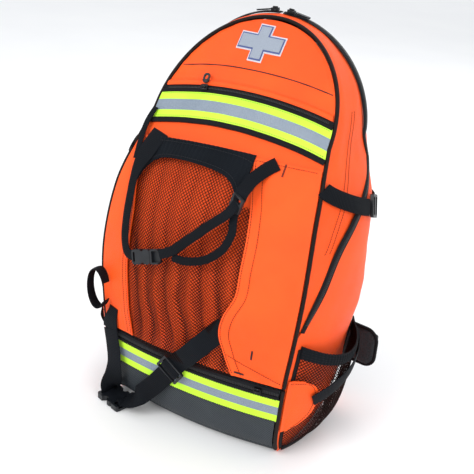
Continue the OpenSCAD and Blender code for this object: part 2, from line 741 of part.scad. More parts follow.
module hip_belt_left() mirror([1, 0, 0]) hip_web(0) tongue(web_s, tongue_len(web_s));

base_panel();
base_board();
boot_front();
lower_tape();
side_right();
side_left();
crown_rear();
back_panel();
frame_sheet();
back_pad();
lumbar_pad();
inner_divider();
main_zip_right();
main_zip_left();
bottle_pocket_right();
bottle_pocket_left();
pocket_hems();
corner_tabs();
side_webbing();
shoulder_strap_right();
shoulder_strap_left();
shoulder_webbing();
shoulder_locks();
base_zip();
lower_strap();
lower_buckle_socket();
lower_slider();
front_panel();
gusset_right();
gusset_left();
crown_front();
front_piping();
upper_tape();
upper_zip();
medical_patch();
mesh_panel();
mesh_hem();
wing_right();
wing_left();
upper_strap();
upper_buckle_socket();
upper_lock();
lower_strap_ends();
compression_straps();
haul_handle();
upper_zip_slider();
upper_zip_pull();
base_zip_slider();
main_slider_right();
main_slider_left();
upper_buckle_tongue();
lower_buckle_tongue();
sternum_webbing_left();
sternum_socket();
sternum_webbing_right();
sternum_tongue();
hip_wing_right();
hip_wing_left();
hip_belt_right();
hip_belt_left();
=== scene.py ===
"""Looks for the emergency medical backpack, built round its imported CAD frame."""
import math

import bmesh
import bpy
import numpy as np
from mathutils import Matrix, Vector


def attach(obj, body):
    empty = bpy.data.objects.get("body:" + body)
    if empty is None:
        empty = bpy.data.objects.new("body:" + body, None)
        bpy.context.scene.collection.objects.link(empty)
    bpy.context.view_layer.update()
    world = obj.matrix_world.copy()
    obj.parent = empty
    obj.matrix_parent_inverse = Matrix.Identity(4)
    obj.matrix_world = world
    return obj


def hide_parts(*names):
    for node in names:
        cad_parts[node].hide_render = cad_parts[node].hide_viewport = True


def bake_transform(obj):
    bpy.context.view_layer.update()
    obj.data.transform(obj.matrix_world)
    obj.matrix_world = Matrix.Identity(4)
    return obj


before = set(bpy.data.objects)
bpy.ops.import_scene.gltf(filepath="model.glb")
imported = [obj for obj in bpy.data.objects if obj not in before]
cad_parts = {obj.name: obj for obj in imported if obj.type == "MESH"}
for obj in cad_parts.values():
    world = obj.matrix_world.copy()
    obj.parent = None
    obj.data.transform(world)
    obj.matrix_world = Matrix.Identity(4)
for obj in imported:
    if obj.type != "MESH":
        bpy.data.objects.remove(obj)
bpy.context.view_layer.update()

MM = 0.001
SIDES = (("right", False), ("left", True))

# ---------------------------------------------------------------- the pack's surfaces (mm)
# The same outlines as the CAD model's, so that every piece lies on its CAD solid.

HALF_W, ARCH_R, PACK_H, ZIP_Y = 156.0, 133.0, 558.0, 76.0
ARCH_Z = PACK_H - ARCH_R
HINGE_Y, HINGE_Z = -146.0, 118.0
HALF_WIDTH = [(0, 0.87 * HALF_W), (60, 0.905 * HALF_W), (120, 0.936 * HALF_W),
              (200, 0.987 * HALF_W), (260, HALF_W), (340, 0.962 * HALF_W), (ARCH_Z, ARCH_R)]
FRONT_EDGE = [(0, -86), (30, -100), (80, -106), (150, -108), (240, -103), (330, -81),
              (385, -50), (430, -21), (480, 11), (520, 36), (545, 52), (558, 60)]
FRONT_BOW = [(0, 16), (110, 15), (250, 21), (400, 12), (500, 10), (558, 2)]
BACK_EDGE = [(0, 96), (60, 101), (380, 107), (450, 105), (520, 98), (558, 92)]
SIDE_BOW = [(0, 8), (60, 20), (150, 28), (250, 31), (350, 26), (430, 9), (500, 7), (558, 6)]
ZIP_DEPTH = [(198, 0.025), (215, 0.045), (257, 0.12), (306, 0.22), (339, 0.39), (370, 0.62),
             (395, (ZIP_Y + 44) / 151)]


def curve(table, z):
    """Smooth curve through a table of pairs, for one value or an array."""
    t = np.array(table, float)
    z = np.asarray(z, float)
    n = len(t) - 1
    slopes = [(t[min(i + 1, n), 1] - t[max(i - 1, 0), 1])
              / (t[min(i + 1, n), 0] - t[max(i - 1, 0), 0]) for i in range(n + 1)]
    slopes = np.array(slopes)
    i = np.clip(np.searchsorted(t[:, 0], z, side="right") - 1, 0, n - 1)
    h = t[i + 1, 0] - t[i, 0]
    s = np.clip((z - t[i, 0]) / h, 0, 1)
    q, c = s * s, s * s * s
    return ((2 * c - 3 * q + 1) * t[i, 1] + (c - 2 * q + s) * h * slopes[i]
            + (3 * q - 2 * c) * t[i + 1, 1] + (c - q) * h * slopes[i + 1])


def half_width(z, inset=0.0):
    """Half the front panel's width at a height; its top is an arch."""
    z = np.asarray(z, float)
    arch = np.sqrt(np.maximum((ARCH_R - inset) ** 2 - (z - ARCH_Z) ** 2, 0))
    return np.where(z < ARCH_Z, curve(HALF_WIDTH, z) - inset, arch)


def front_y(x, z):
    """Depth of the bowed front at a place."""
    share = np.minimum(np.abs(x) / half_width(np.minimum(z, PACK_H - 4)), 1.3)
    return curve(FRONT_EDGE, z) - curve(FRONT_BOW, z) * (1 - share ** 2)


def unit(v):
    v = np.asarray(v, float)
    return v / np.maximum(np.linalg.norm(v, axis=-1, keepdims=True), 1e-9)


def front_n(x, z):
    x, z = np.broadcast_arrays(np.asarray(x, float), np.asarray(z, float))
    return unit(np.stack([(front_y(x + 1, z) - front_y(x - 1, z)) / 2, -np.ones_like(x),
                          (front_y(x, z + 1) - front_y(x, z - 1)) / 2], -1))


def front_at(x, z, d=0.0):
    """Point d mm off the front."""
    x, z, d = np.broadcast_arrays(*[np.asarray(a, float) for a in (x, z, d)])
    return np.stack([x, front_y(x, z), z], -1) + d[..., None] * front_n(x, z)


def side_z(q):
    q = np.asarray(q, float)
    return np.where(q < ARCH_Z, q, ARCH_Z + ARCH_R * np.sin(np.radians(q - ARCH_Z)))


def side_raw(q, v):
    """Right side: v is 0 at the front edge, 1 at the back; past the arch q is an angle."""
    q, v = np.broadcast_arrays(np.asarray(q, float), np.asarray(v, float))
    z = side_z(q)
    low = q < ARCH_Z
    r = np.where(low, half_width(z), ARCH_R) * (1 - 0.04 * v)
    r = r + curve(SIDE_BOW, z) * 4 * v * (1 - v)
    y = curve(FRONT_EDGE, z) + (curve(BACK_EDGE, z) - curve(FRONT_EDGE, z)) * v
    a = np.radians(q - ARCH_Z)
    return np.stack([np.where(low, r, r * np.cos(a)), y,
                     np.where(low, z, ARCH_Z + r * np.sin(a))], -1)


def side_n(q, v):
    q, v = np.asarray(q, float), np.asarray(v, float)
    return unit(np.cross(side_raw(q, v + 0.01) - side_raw(q, v - 0.01),
                         side_raw(q + 0.5, v) - side_raw(q - 0.5, v)))


def side_at(q, v, d=0.0):
    return side_raw(q, v) + np.asarray(d, float)[..., None] * side_n(q, v)


def depth_at(q):
    z = side_z(q)
    return curve(BACK_EDGE, z) - curve(FRONT_EDGE, z)


def zip_v(q):
    """Where the main zip runs across the side, as a share of its depth."""
    q = np.asarray(q, float)
    high = (ZIP_Y - curve(FRONT_EDGE, side_z(q))) / depth_at(q)
    return np.where(q < 395, curve(ZIP_DEPTH, np.maximum(q, 198)), high)


def flip(points):
    """The same points on the other side of the pack."""
    return np.asarray(points) * np.array([-1.0, 1.0, 1.0])


def waves(a, b, seed, size):
    """Smooth repeatable unevenness, about -1 to 1; size is its wavelength in mm."""
    r = np.random.default_rng(seed)
    total = 0.0
    for k in range(3):
        f = 2 * math.pi / size * 1.9 ** k
        for _ in range(3):
            turn, shift = r.uniform(0, 2 * math.pi, 2)
            total = total + np.sin(f * (a * math.cos(turn) + b * math.sin(turn)) + shift) \
                * 0.55 ** k
    return total / 3.4


# ---------------------------------------------------------------- materials

CLOTH = "cloth"                     # point attribute: millimetres along and across the cloth


class Nodes:
    """A short way to write a material's nodes."""

    def __init__(self, name):
        self.material = bpy.data.materials.new(name)
        self.material.use_nodes = True
        self.tree = self.material.node_tree
        self.shader = self.tree.nodes["Principled BSDF"]

    def add(self, kind, **values):
        node = self.tree.nodes.new("ShaderNode" + kind)
        for key, value in values.items():
            setattr(node, key, value)
        return node

    def link(self, a, b):
        self.tree.links.new(a, b)

    def maths(self, operation, a, b=None, c=None):
        node = self.add("Math", operation=operation)
        for i, value in enumerate((a, b, c)):
            if value is None:
                continue
            if isinstance(value, (int, float)):
                node.inputs[i].default_value = value
            else:
                self.link(value, node.inputs[i])
        return node.outputs[0]

    def cloth(self):
        """The two cloth coordinates, in millimetres."""
        split = self.add("SeparateXYZ")
        self.link(self.add("Attribute", attribute_name=CLOTH).outputs["Vector"],
                  split.inputs[0])
        return split.outputs[0], split.outputs[1]

    def place(self):
        """The point's own place, in metres."""
        return self.add("TexCoord").outputs["Object"]

    def noise(self, scale, detail=2.0, rough=0.5, at=None):
        node = self.add("TexNoise")
        node.inputs["Scale"].default_value = scale
        node.inputs["Detail"].default_value = detail
        node.inputs["Roughness"].default_value = rough
        self.link(at or self.place(), node.inputs["Vector"])
        return node.outputs["Fac"]

    def ramp(self, value, stops):
        node = self.add("ValToRGB")
        ramp = node.color_ramp
        while len(ramp.elements) < len(stops):
            ramp.elements.new(0.5)
        for element, (at, colour) in zip(ramp.elements, stops):
            element.position = at
            element.color = (*colour, 1)
        self.link(value, node.inputs[0])
        return node.outputs[0]

    def mix(self, share, a, b):
        node = self.add("Mix", data_type="RGBA")
        for socket, value in ((node.inputs[0], share), (node.inputs[6], a),
                              (node.inputs[7], b)):
            if isinstance(value, (int, float)):
                socket.default_value = value
            elif isinstance(value, tuple):
                socket.default_value = (*value, 1)
            else:
                self.link(value, socket)
        return node.outputs[2]

    def bump(self, height, distance, strength=1.0, below=None):
        node = self.add("Bump")
        node.inputs["Strength"].default_value = strength
        node.inputs["Distance"].default_value = distance
        self.link(height, node.inputs["Height"])
        if below is not None:
            self.link(below, node.inputs["Normal"])
        return node.outputs[0]

    def finish(self, colour=None, rough=None, normal=None, **constants):
        sockets = self.shader.inputs
        if isinstance(colour, tuple):
            sockets["Base Color"].default_value = (*colour, 1)
        elif colour is not None:
            self.link(colour, sockets["Base Color"])
        if isinstance(rough, float):
            sockets["Roughness"].default_value = rough
        elif rough is not None:
            self.link(rough, sockets["Roughness"])
        if normal is not None:
            self.link(normal, sockets["Normal"])
        for key, value in constants.items():
            sockets[key.replace("_", " ")].default_value = value
        return self.material


def threads(n, pitch_a, pitch_b, pattern="plain"):
    """Height of a weave: plain, twill or ribs, from 0 to 1."""
    a, b = n.cloth()
    fa, fb = 2 * math.pi / pitch_a, 2 * math.pi / pitch_b
    if pattern == "plain":
        product = n.maths("MULTIPLY", n.maths("SINE", n.maths("MULTIPLY", a, fa)),
                          n.maths("SINE", n.maths("MULTIPLY", b, fb)))
        return n.maths("MULTIPLY_ADD", product, 0.5, 0.5)
    if pattern == "twill":
        lean = n.maths("ADD", n.maths("MULTIPLY", a, fa), n.maths("MULTIPLY", b, fb))
        return n.maths("MULTIPLY_ADD", n.maths("SINE", lean), 0.5, 0.5)
    rib = n.maths("ABSOLUTE", n.maths("SINE", n.maths("MULTIPLY", b, fb / 2)))
    fine = n.maths("SINE", n.maths("MULTIPLY", a, fa))
    return n.maths("MULTIPLY_ADD", fine, 0.18, rib)


def woven(name, dark, light, pitch, rough, bump, pattern="plain", sheen=0.0, wear=None,
          shine=0.22, relief=0.22):
    """Cloth: weave in colour and bump, slow colour drift, and rubbed patches."""
    n = Nodes(name)
    height = threads(n, pitch[0], pitch[1], pattern)
    drift = n.noise(9.0, 3.0, 0.6)
    base = n.ramp(drift, [(0.3, dark), (0.7, light)])
    shade = n.mix(n.maths("MULTIPLY", height, relief), base,
                  tuple(min(1.0, c * 1.25) for c in light))
    if wear:
        rub = n.maths("MULTIPLY", n.maths("GREATER_THAN", n.noise(60.0, 6.0, 0.7), 0.66), 0.25)
        shade = n.mix(rub, shade, wear)
    slow = n.bump(n.noise(38.0, 3.0, 0.55), 0.0009, 0.5)
    normal = n.bump(height, bump, 0.8, slow)
    roughness = n.maths("MULTIPLY_ADD", drift, 0.16, rough - 0.08)
    return n.finish(shade, roughness, normal, Sheen_Weight=sheen, Sheen_Roughness=0.45,
                    Specular_IOR_Level=shine)


# name of the material, dark and light colour, weave pitch in mm, roughness, bump in metres
# and whatever else woven() takes
CLOTHS = {
    "orange": ("orange_fabric", (0.9, 0.07, 0.003), (1.0, 0.098, 0.007), (1.1, 1.1), 0.55,
               0.00022, {"sheen": 0.02, "shine": 0.3}),
    "orange_in": ("orange_lining", (0.5, 0.045, 0.004), (0.6, 0.06, 0.006), (0.9, 0.9), 0.6,
                  0.00015, {}),
    "lining": ("grey_lining", (0.03, 0.033, 0.04), (0.045, 0.049, 0.057), (0.9, 0.9), 0.6,
               0.00015, {}),
    "boot": ("boot_fabric", (0.011, 0.015, 0.019), (0.026, 0.033, 0.04), (6.4, 3.6), 0.42,
             0.0011, {"pattern": "twill", "wear": (0.06, 0.07, 0.08), "shine": 0.3,
                      "relief": 0.9}),
    "webbing": ("webbing", (0.002, 0.0026, 0.0038), (0.0045, 0.006, 0.009), (2.2, 2.4), 0.66,
                0.0005, {"pattern": "ribs", "shine": 0.1}),
    "elastic": ("elastic", (0.002, 0.003, 0.0045), (0.005, 0.007, 0.01), (1.6, 3.4), 0.68,
                0.0007, {"pattern": "ribs", "shine": 0.1}),
    "binding": ("binding", (0.003, 0.003, 0.004), (0.007, 0.007, 0.009), (1.4, 1.8), 0.6,
                0.0003, {"pattern": "ribs", "shine": 0.12}),
    "piping": ("piping", (0.006, 0.0035, 0.003), (0.014, 0.008, 0.007), (1.4, 2.2), 0.55,
               0.0003, {"pattern": "twill", "shine": 0.14}),
    "hem": ("mesh_hem", (0.002, 0.003, 0.0045), (0.006, 0.0085, 0.0125), (3.1, 3.1), 0.68,
            0.0009, {"shine": 0.1}),
    "net": ("net", (0.006, 0.0015, 0.0012), (0.014, 0.0035, 0.0025), (0.7, 0.7), 0.7, 0.0001,
            {"shine": 0.08}),
    "thread": ("thread", (0.2, 0.02, 0.006), (0.28, 0.03, 0.01), (0.5, 0.5), 0.6, 0.0001, {}),
    "thread_dark": ("thread_dark", (0.08, 0.008, 0.004), (0.13, 0.012, 0.005), (0.5, 0.5),
                    0.6, 0.0001, {}),
    "thread_black": ("thread_black", (0.012, 0.012, 0.015), (0.02, 0.02, 0.024), (0.5, 0.5),
                     0.6, 0.0001, {}),
}
PLASTICS = {
    "plastic": ("buckle_plastic", (0.004, 0.005, 0.007), 0.36),
    "teeth": ("zip_teeth", (0.006, 0.0065, 0.008), 0.3),
    "rubber": ("pull_rubber", (0.008, 0.009, 0.011), 0.55),
    "stiff": ("stiffener", (0.62, 0.63, 0.6), 0.5),
}
PATCHES = {
    "patch": ("embroidery", (0.2, 0.24, 0.31), (0.4, 0.45, 0.53)),
    "rim": ("embroidery_rim", (0.5, 0.5, 0.56), (0.8, 0.8, 0.85)),
    "blue": ("embroidery_blue", (0.05, 0.07, 0.2), (0.1, 0.14, 0.36)),
}


def make_materials():
    made = {key: woven(*values, **more) for key, (*values, more) in CLOTHS.items()}
    made.update({key: plastic_material(*values) for key, values in PLASTICS.items()})
    made.update({key: patch_material(*values) for key, values in PATCHES.items()})
    made.update(tape=tape_material(), pad=pad_material(), metal=metal_material())
    return made


def tape_material():
    """Fluorescent tape with a beaded silver stripe along its middle."""
    n = Nodes("reflective_tape")
    across, along = n.cloth()
    weave = threads(n, 1.2, 1.2)
    lime = n.ramp(n.noise(14.0, 2.0), [(0.35, (0.44, 0.83, 0.018)), (0.65, (0.52, 0.9, 0.03))])
    beads = n.noise(2600.0, 0.0)
    silver = n.ramp(beads, [(0.35, (0.13, 0.165, 0.21)), (0.62, (0.25, 0.3, 0.36))])
    distance = n.maths("ABSOLUTE", across)
    stripe = n.maths("LESS_THAN", distance, 6.6)
    edge = n.maths("GREATER_THAN", distance, 17.6)
    colour = n.mix(stripe, n.mix(n.maths("MULTIPLY", weave, 0.12), lime, (0.75, 0.95, 0.2)),
                   silver)
    colour = n.mix(edge, colour, (0.02, 0.022, 0.02))
    rough = n.maths("MULTIPLY_ADD", stripe, -0.16, 0.5)
    creases = n.bump(n.noise(30.0, 3.0), 0.0008, 0.4)
    raised = n.bump(stripe, 0.0003, 0.7, creases)
    normal = n.bump(weave, 0.00012, 0.5, raised)
    return n.finish(colour, rough, normal, Specular_IOR_Level=0.3)


def pad_material():
    """Air mesh: a close honeycomb of small dimples over foam."""
    n = Nodes("air_mesh")
    cells = n.add("TexVoronoi")
    cells.inputs["Scale"].default_value = 330.0
    n.link(n.place(), cells.inputs["Vector"])
    dimple = cells.outputs["Distance"]
    colour = n.ramp(dimple, [(0.1, (0.006, 0.007, 0.008)), (0.5, (0.02, 0.022, 0.026))])
    drift = n.mix(n.maths("MULTIPLY", n.noise(11.0), 0.25), colour, (0.035, 0.036, 0.04))
    slow = n.bump(n.noise(45.0, 2.0), 0.001, 0.4)
    rough = n.maths("MULTIPLY_ADD", dimple, 0.2, 0.68)
    return n.finish(drift, rough, n.bump(dimple, 0.0008, 0.8, slow), Sheen_Weight=0.04,
                    Specular_IOR_Level=0.25)


def plastic_material(name, colour, rough):
    """Moulded plastic: a fine spark-eroded grain with rubbed, shinier patches."""
    n = Nodes(name)
    grain = n.noise(2400.0, 2.0, 0.6)
    rubbed = n.noise(90.0, 4.0, 0.6)
    shade = n.ramp(rubbed, [(0.35, colour), (0.75, tuple(c * 1.9 + 0.002 for c in colour))])
    scratches = n.bump(n.noise(420.0, 6.0, 0.75), 0.00006, 0.4)
    roughness = n.maths("MULTIPLY_ADD", rubbed, -0.22, rough + 0.12)
    return n.finish(shade, roughness, n.bump(grain, 0.00005, 0.5, scratches),
                    Specular_IOR_Level=0.4)


def metal_material():
    """Black enamel over zinc, worn through in specks."""
    n = Nodes("slider_metal")
    worn = n.maths("GREATER_THAN", n.noise(500.0, 5.0, 0.7), 0.63)
    shade = n.mix(worn, (0.02, 0.02, 0.022), (0.22, 0.22, 0.22))
    rough = n.maths("MULTIPLY_ADD", n.noise(160.0, 3.0), 0.25, 0.22)
    return n.finish(shade, rough, n.bump(n.noise(800.0, 3.0), 0.00004, 0.5), Metallic=0.85)


def patch_material(name, dark, light):
    """Satin-stitch embroidery: close parallel threads."""
    n = Nodes(name)
    a, _ = n.cloth()
    thread = n.maths("ABSOLUTE", n.maths("SINE", n.maths("MULTIPLY", a, math.pi / 0.55)))
    shade = n.ramp(thread, [(0.0, dark), (0.8, light)])
    rough = n.maths("MULTIPLY_ADD", thread, -0.15, 0.55)
    return n.finish(shade, rough, n.bump(thread, 0.00035, 0.8), Sheen_Weight=0.05)


MATERIAL = make_materials()

# ---------------------------------------------------------------- mesh helpers


def build(name, points, faces, body, slot, materials, replaces=(), cloth=None, indices=None,
          sharp=50.0, smooth=True):
    """A mesh from points in mm. It rides on a body, if one is given; the slot argument is not
    used.
    """
    mesh = bpy.data.meshes.new(name)
    mesh.from_pydata(np.asarray(points, float) * MM, [], faces)
    for material in materials:
        mesh.materials.append(MATERIAL[material])
    if indices is not None:
        mesh.polygons.foreach_set("material_index", np.asarray(indices, dtype=np.int32))
    if cloth is not None:
        layer = mesh.attributes.new(CLOTH, "FLOAT_VECTOR", "POINT")
        flat = np.zeros((len(points), 3))
        flat[:, :2] = cloth
        layer.data.foreach_set("vector", flat.ravel())
    mesh.update()
    if smooth:
        mesh.shade_smooth()
        mesh.set_sharp_from_angle(angle=math.radians(sharp))
    piece = bpy.data.objects.new(name, mesh)
    bpy.context.scene.collection.objects.link(piece)
    if body:
        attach(piece, body)
    if replaces:
        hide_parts(*replaces)
    return piece


def face_outwards(piece, join=False):
    """Turns all faces outwards and, if asked, joins points that coincide first."""
    mesh = bmesh.new()
    mesh.from_mesh(piece.data)
    if join:
        bmesh.ops.remove_doubles(mesh, verts=mesh.verts, dist=0.02 * MM)
    bmesh.ops.recalc_face_normals(mesh, faces=mesh.faces)
    mesh.to_mesh(piece.data)
    mesh.free()


def run_along(points):
    """How far along its route each point lies."""
    return np.concatenate([[0], np.cumsum(np.linalg.norm(np.diff(points, axis=0), axis=1))])


def loft_faces(rings):
    """Faces of a closed form through rings of points, with both ends filled."""
    m, n = rings.shape[:2]
    index = np.arange(m * n).reshape(m, n)
    a, b = index[:-1], index[1:]
    faces = np.stack([a, np.roll(a, -1, 1), np.roll(b, -1, 1), b], -1).reshape(-1, 4).tolist()
    return faces + [index[0][::-1].tolist(), index[-1].tolist()]


def grid_cloth(grid):
    """Millimetres across and along a grid, measured along its middle row and column."""
    across = np.linalg.norm(np.diff(grid, axis=1), axis=2)
    along = np.linalg.norm(np.diff(grid, axis=0), axis=2)
    a = np.concatenate([np.zeros((len(grid), 1)), np.cumsum(across, 1)], 1)
    a = a - a[:, -1:] / 2
    b = np.concatenate([[0], np.cumsum(along.mean(1))])
    return np.stack([a, np.broadcast_to(b[:, None], a.shape)], -1)


def sheet(name, outer, inner, body, slot, materials, replaces=(), cloth=None):
    """Closed slab between two grids; the inner face takes the second material."""
    outer, inner = np.asarray(outer), np.asarray(inner)
    m, n = outer.shape[:2]
    index = np.arange(m * n).reshape(m, n)
    a, b = index[:-1, :-1].ravel(), index[1:, :-1].ravel()
    c, d = index[1:, 1:].ravel(), index[:-1, 1:].ravel()
    front = np.stack([a, d, c, b], 1)
    back = np.stack([a, b, c, d], 1) + m * n
    rim = np.concatenate([index[0, :], index[1:, -1], index[-1, -2::-1], index[-2:0:-1, 0]])
    ahead = np.roll(rim, -1)
    edge = np.stack([rim, rim + m * n, ahead + m * n, ahead], 1)
    faces = np.concatenate([front, back, edge])
    normal = np.cross(outer[m // 2, n // 2 + 1] - outer[m // 2, n // 2],
                      outer[m // 2 + 1, n // 2] - outer[m // 2, n // 2])
    if normal @ (outer[m // 2, n // 2] - inner[m // 2, n // 2]) < 0:
        faces = faces[:, ::-1]
    kinds = np.zeros(len(faces), int)
    if len(materials) > 1:
        kinds[len(front):len(front) * 2] = 1
    cloth = grid_cloth(outer) if cloth is None else cloth
    both = np.concatenate([cloth.reshape(-1, 2)] * 2)
    return build(name, np.concatenate([outer.reshape(-1, 3), inner.reshape(-1, 3)]),
                 faces.tolist(), body, slot, materials, replaces, both, kinds)


def ribbon_grid(points, normals, width, thick):
    """Closed cross-sections of a strap that lies on its route."""
    along = unit(np.gradient(points, axis=0))
    across = unit(np.cross(along, normals))
    up = unit(np.cross(across, along))
    shape = [(-1, 0.25), (-0.97, 0.85), (-0.8, 1), (-0.4, 1.25), (0, 1.25), (0.4, 1.25),
             (0.8, 1), (0.97, 0.85), (1, 0.25), (0.9, 0), (0, 0), (-0.9, 0)]
    width = np.broadcast_to(width, (len(points),))
    rings = [points + across * (s * width / 2)[:, None] + up * (h * thick)
             for s, h in shape]
    return np.stack(rings, 1), np.array([s for s, h in shape])


def strap(name, points, normals, width, thick, body, slot="webbing", material="webbing",
          replaces=()):
    """Webbing along a route, with rounded selvedges and closed ends."""
    rings, share = ribbon_grid(np.asarray(points), np.asarray(normals), width, thick)
    m, n = rings.shape[:2]
    width = np.broadcast_to(width, (m,))
    cloth = np.stack([share[None] * width[:, None] / 2,
                      np.repeat(run_along(points)[:, None], n, 1)], -1)
    piece = build(name, rings.reshape(-1, 3), loft_faces(rings), body, slot, [material],
                  replaces, cloth.reshape(-1, 2))
    face_outwards(piece)
    return piece


def bend(points, each=6):
    """Smooth route through points, as the CAD model runs it."""
    p = np.asarray(points, float)
    n = len(p) - 1
    out = []
    for i in range(n):
        a, b, c, d = p[max(i - 1, 0)], p[i], p[i + 1], p[min(i + 2, n)]
        for t in np.arange(each) / each:
            q, e = t * t, t ** 3
            out.append((2 * e - 3 * q + 1) * b + (e - 2 * q + t) * (c - a) / 2
                       + (3 * q - 2 * e) * c + (e - q) * (d - b) / 2)
    return np.array(out + [p[n]])


def front_route(points, each=6):
    r = bend(points, each)
    return front_at(r[:, 0], r[:, 1], r[:, 2]), front_n(r[:, 0], r[:, 1])


def side_route(points, each=6, left=False):
    r = bend(points, each)
    p, n = side_at(r[:, 0], r[:, 1], r[:, 2]), side_n(r[:, 0], r[:, 1])
    return (flip(p), flip(n)) if left else (p, n)


def resample(points, normals, step):
    """The route again, in even steps."""
    run = run_along(points)
    at = np.arange(step / 2, run[-1], step)
    pick = lambda v: np.stack([np.interp(at, run, v[:, k]) for k in range(3)], 1)
    return pick(points), unit(pick(normals))


def blocks(name, centres, along, up, size, body, slot, material, taper=0.6):
    """Many small bars, each with a narrower top: stitches or zip teeth."""
    centres, along, up = np.asarray(centres), unit(along), unit(up)
    across = unit(np.cross(along, up))
    corners, faces = [], []
    for h, k in ((0, 1.0), (0.6, 1.0), (1, taper)):
        for s, t in ((-1, -1), (1, -1), (1, 1), (-1, 1)):
            corners.append(centres + along * (s * size[0] / 2 * k)
                           + across * (t * size[1] / 2 * k) + up * (h * size[2]))
    points = np.stack(corners, 1)
    one = [(3, 2, 1, 0), (8, 9, 10, 11)]
    for r in (0, 4):
        one += [(r + k, r + (k + 1) % 4, r + 4 + (k + 1) % 4, r + 4 + k) for k in range(4)]
    for i in range(len(centres)):
        faces += [tuple(12 * i + k for k in f) for f in one]
    flat = points.reshape(-1, 3)
    return build(name, flat, faces, body, slot, [material], cloth=flat[:, ::2], sharp=80)


def stitches(name, routes, body, slot, material="thread", pitch=3.8, size=(2.7, 0.75, 0.5)):
    """Rows of stitches along routes of (points, normals)."""
    centres, ways, ups = [], [], []
    for points, normals in routes:
        p, n = resample(points, normals, pitch)
        if len(p) < 3:
            continue
        centres.append(p)
        ways.append(np.gradient(p, axis=0))
        ups.append(n)
    return blocks(name, np.concatenate(centres), np.concatenate(ways), np.concatenate(ups),
                  size, body, slot, material, 0.5)


def tube(name, points, radius, body, slot, material, replaces=(), sides=12):
    """Round cord along points."""
    points = np.asarray(points)
    along = unit(np.gradient(points, axis=0))
    u = unit(np.cross(along, np.array([0.02, 1, 0.03])))
    v = np.cross(along, u)
    a = np.arange(sides) * 2 * math.pi / sides
    rings = points[:, None] + radius * (u[:, None] * np.cos(a)[None, :, None]
                                        + v[:, None] * np.sin(a)[None, :, None])
    cloth = np.stack([np.repeat((a * radius)[None], len(points), 0),
                      np.repeat(run_along(points)[:, None], sides, 1)], -1)
    return build(name, rings.reshape(-1, 3), loft_faces(rings), body, slot, [material],
                 replaces, cloth.reshape(-1, 2), sharp=80)


NET_THICK = 0.4


def net(name, place, inside, span, body, replaces, half, hole):
    """Open diamond netting: place(a, b, d) gives a point, inside(a, b) says where it is
    and hole(a, b) what share of each diamond is open."""
    (a0, a1), (b0, b1) = span
    i, j = np.meshgrid(np.arange(int((a1 - a0) / half) + 1),
                       np.arange(int((b1 - b0) / half) + 1), indexing="ij")
    cells = (i + j) % 2 == 1
    ca, cb = a0 + i[cells] * half, b0 + j[cells] * half
    keep = inside(ca, cb)
    ca, cb = ca[keep], cb[keep]
    hole = hole(ca, cb)[:, None]
    ways = np.array([(1, 0), (0, 1), (-1, 0), (0, -1)], float)
    rings = []
    for size, d in ((1.0, NET_THICK), (hole, NET_THICK), (hole, 0.0), (1.0, 0.0)):
        a = ca[:, None] + ways[None, :, 0] * half * size
        b = cb[:, None] + ways[None, :, 1] * half * size
        rings.append(place(a, b, np.full(a.shape, d)))
    points = np.concatenate([r.reshape(-1, 3) for r in rings])
    count = len(ca) * 4
    base = np.arange(len(ca))[:, None] * 4
    k = np.arange(4)[None]
    now, ahead = base + k, base + (k + 1) % 4
    faces = [np.stack([now + s * count, ahead + s * count, ahead + t * count,
                       now + t * count], -1).reshape(-1, 4)
             for s, t in ((0, 1), (1, 2), (2, 3))]
    cloth = np.concatenate([r.reshape(-1, 3)[:, ::2] for r in rings])
    piece = build(name, points, np.concatenate(faces).tolist(), body, "mesh", ["net"],
                  replaces, cloth, smooth=False)
    face_outwards(piece, join=True)


def mix(a, b, t):
    return a + (b - a) * t


def ease(v, low, high):
    """0 below low, 1 above high, smooth between."""
    t = np.clip((np.asarray(v, float) - low) / (high - low), 0, 1)
    return t * t * (3 - 2 * t)


def lattice(rows, cols):
    return np.meshgrid(np.asarray(rows, float), np.asarray(cols, float), indexing="ij")


# ---------------------------------------------------------------- camera, light and floor

FOCUS = Vector((0.0, 0.0, 0.28))
CAMERA_AT = (0.531, -0.964, 0.742)
YAW, PITCH, ROLL = (math.radians(a) for a in (28.9, 23.7, 4.6))
LENS, SENSOR = 64.56, 36.0


def make_camera():
    """The camera stands where the photograph was taken from."""
    ahead = Vector((-math.sin(YAW) * math.cos(PITCH), math.cos(YAW) * math.cos(PITCH),
                    -math.sin(PITCH)))
    level = Vector((math.cos(YAW), math.sin(YAW), 0))
    above = level.cross(ahead)
    right = level * math.cos(ROLL) + above * math.sin(ROLL)
    up = above * math.cos(ROLL) - level * math.sin(ROLL)
    data = bpy.data.cameras.new("camera")
    data.sensor_width = SENSOR
    data.lens = LENS
    camera = bpy.data.objects.new("camera", data)
    bpy.context.scene.collection.objects.link(camera)
    turn = Matrix((right, up, -ahead)).transposed().to_4x4()
    camera.matrix_world = Matrix.Translation(CAMERA_AT) @ turn
    bpy.context.scene.camera = camera


def area_light(name, place, size, power, tint=(1, 1, 1)):
    data = bpy.data.lights.new(name, "AREA")
    data.shape = "DISK"
    data.size = size
    data.energy = power
    data.color = tint
    light = bpy.data.objects.new(name, data)
    light.location = place
    light.rotation_mode = "QUATERNION"
    light.rotation_quaternion = (FOCUS - Vector(place)).to_track_quat("-Z", "Y")
    bpy.context.scene.collection.objects.link(light)


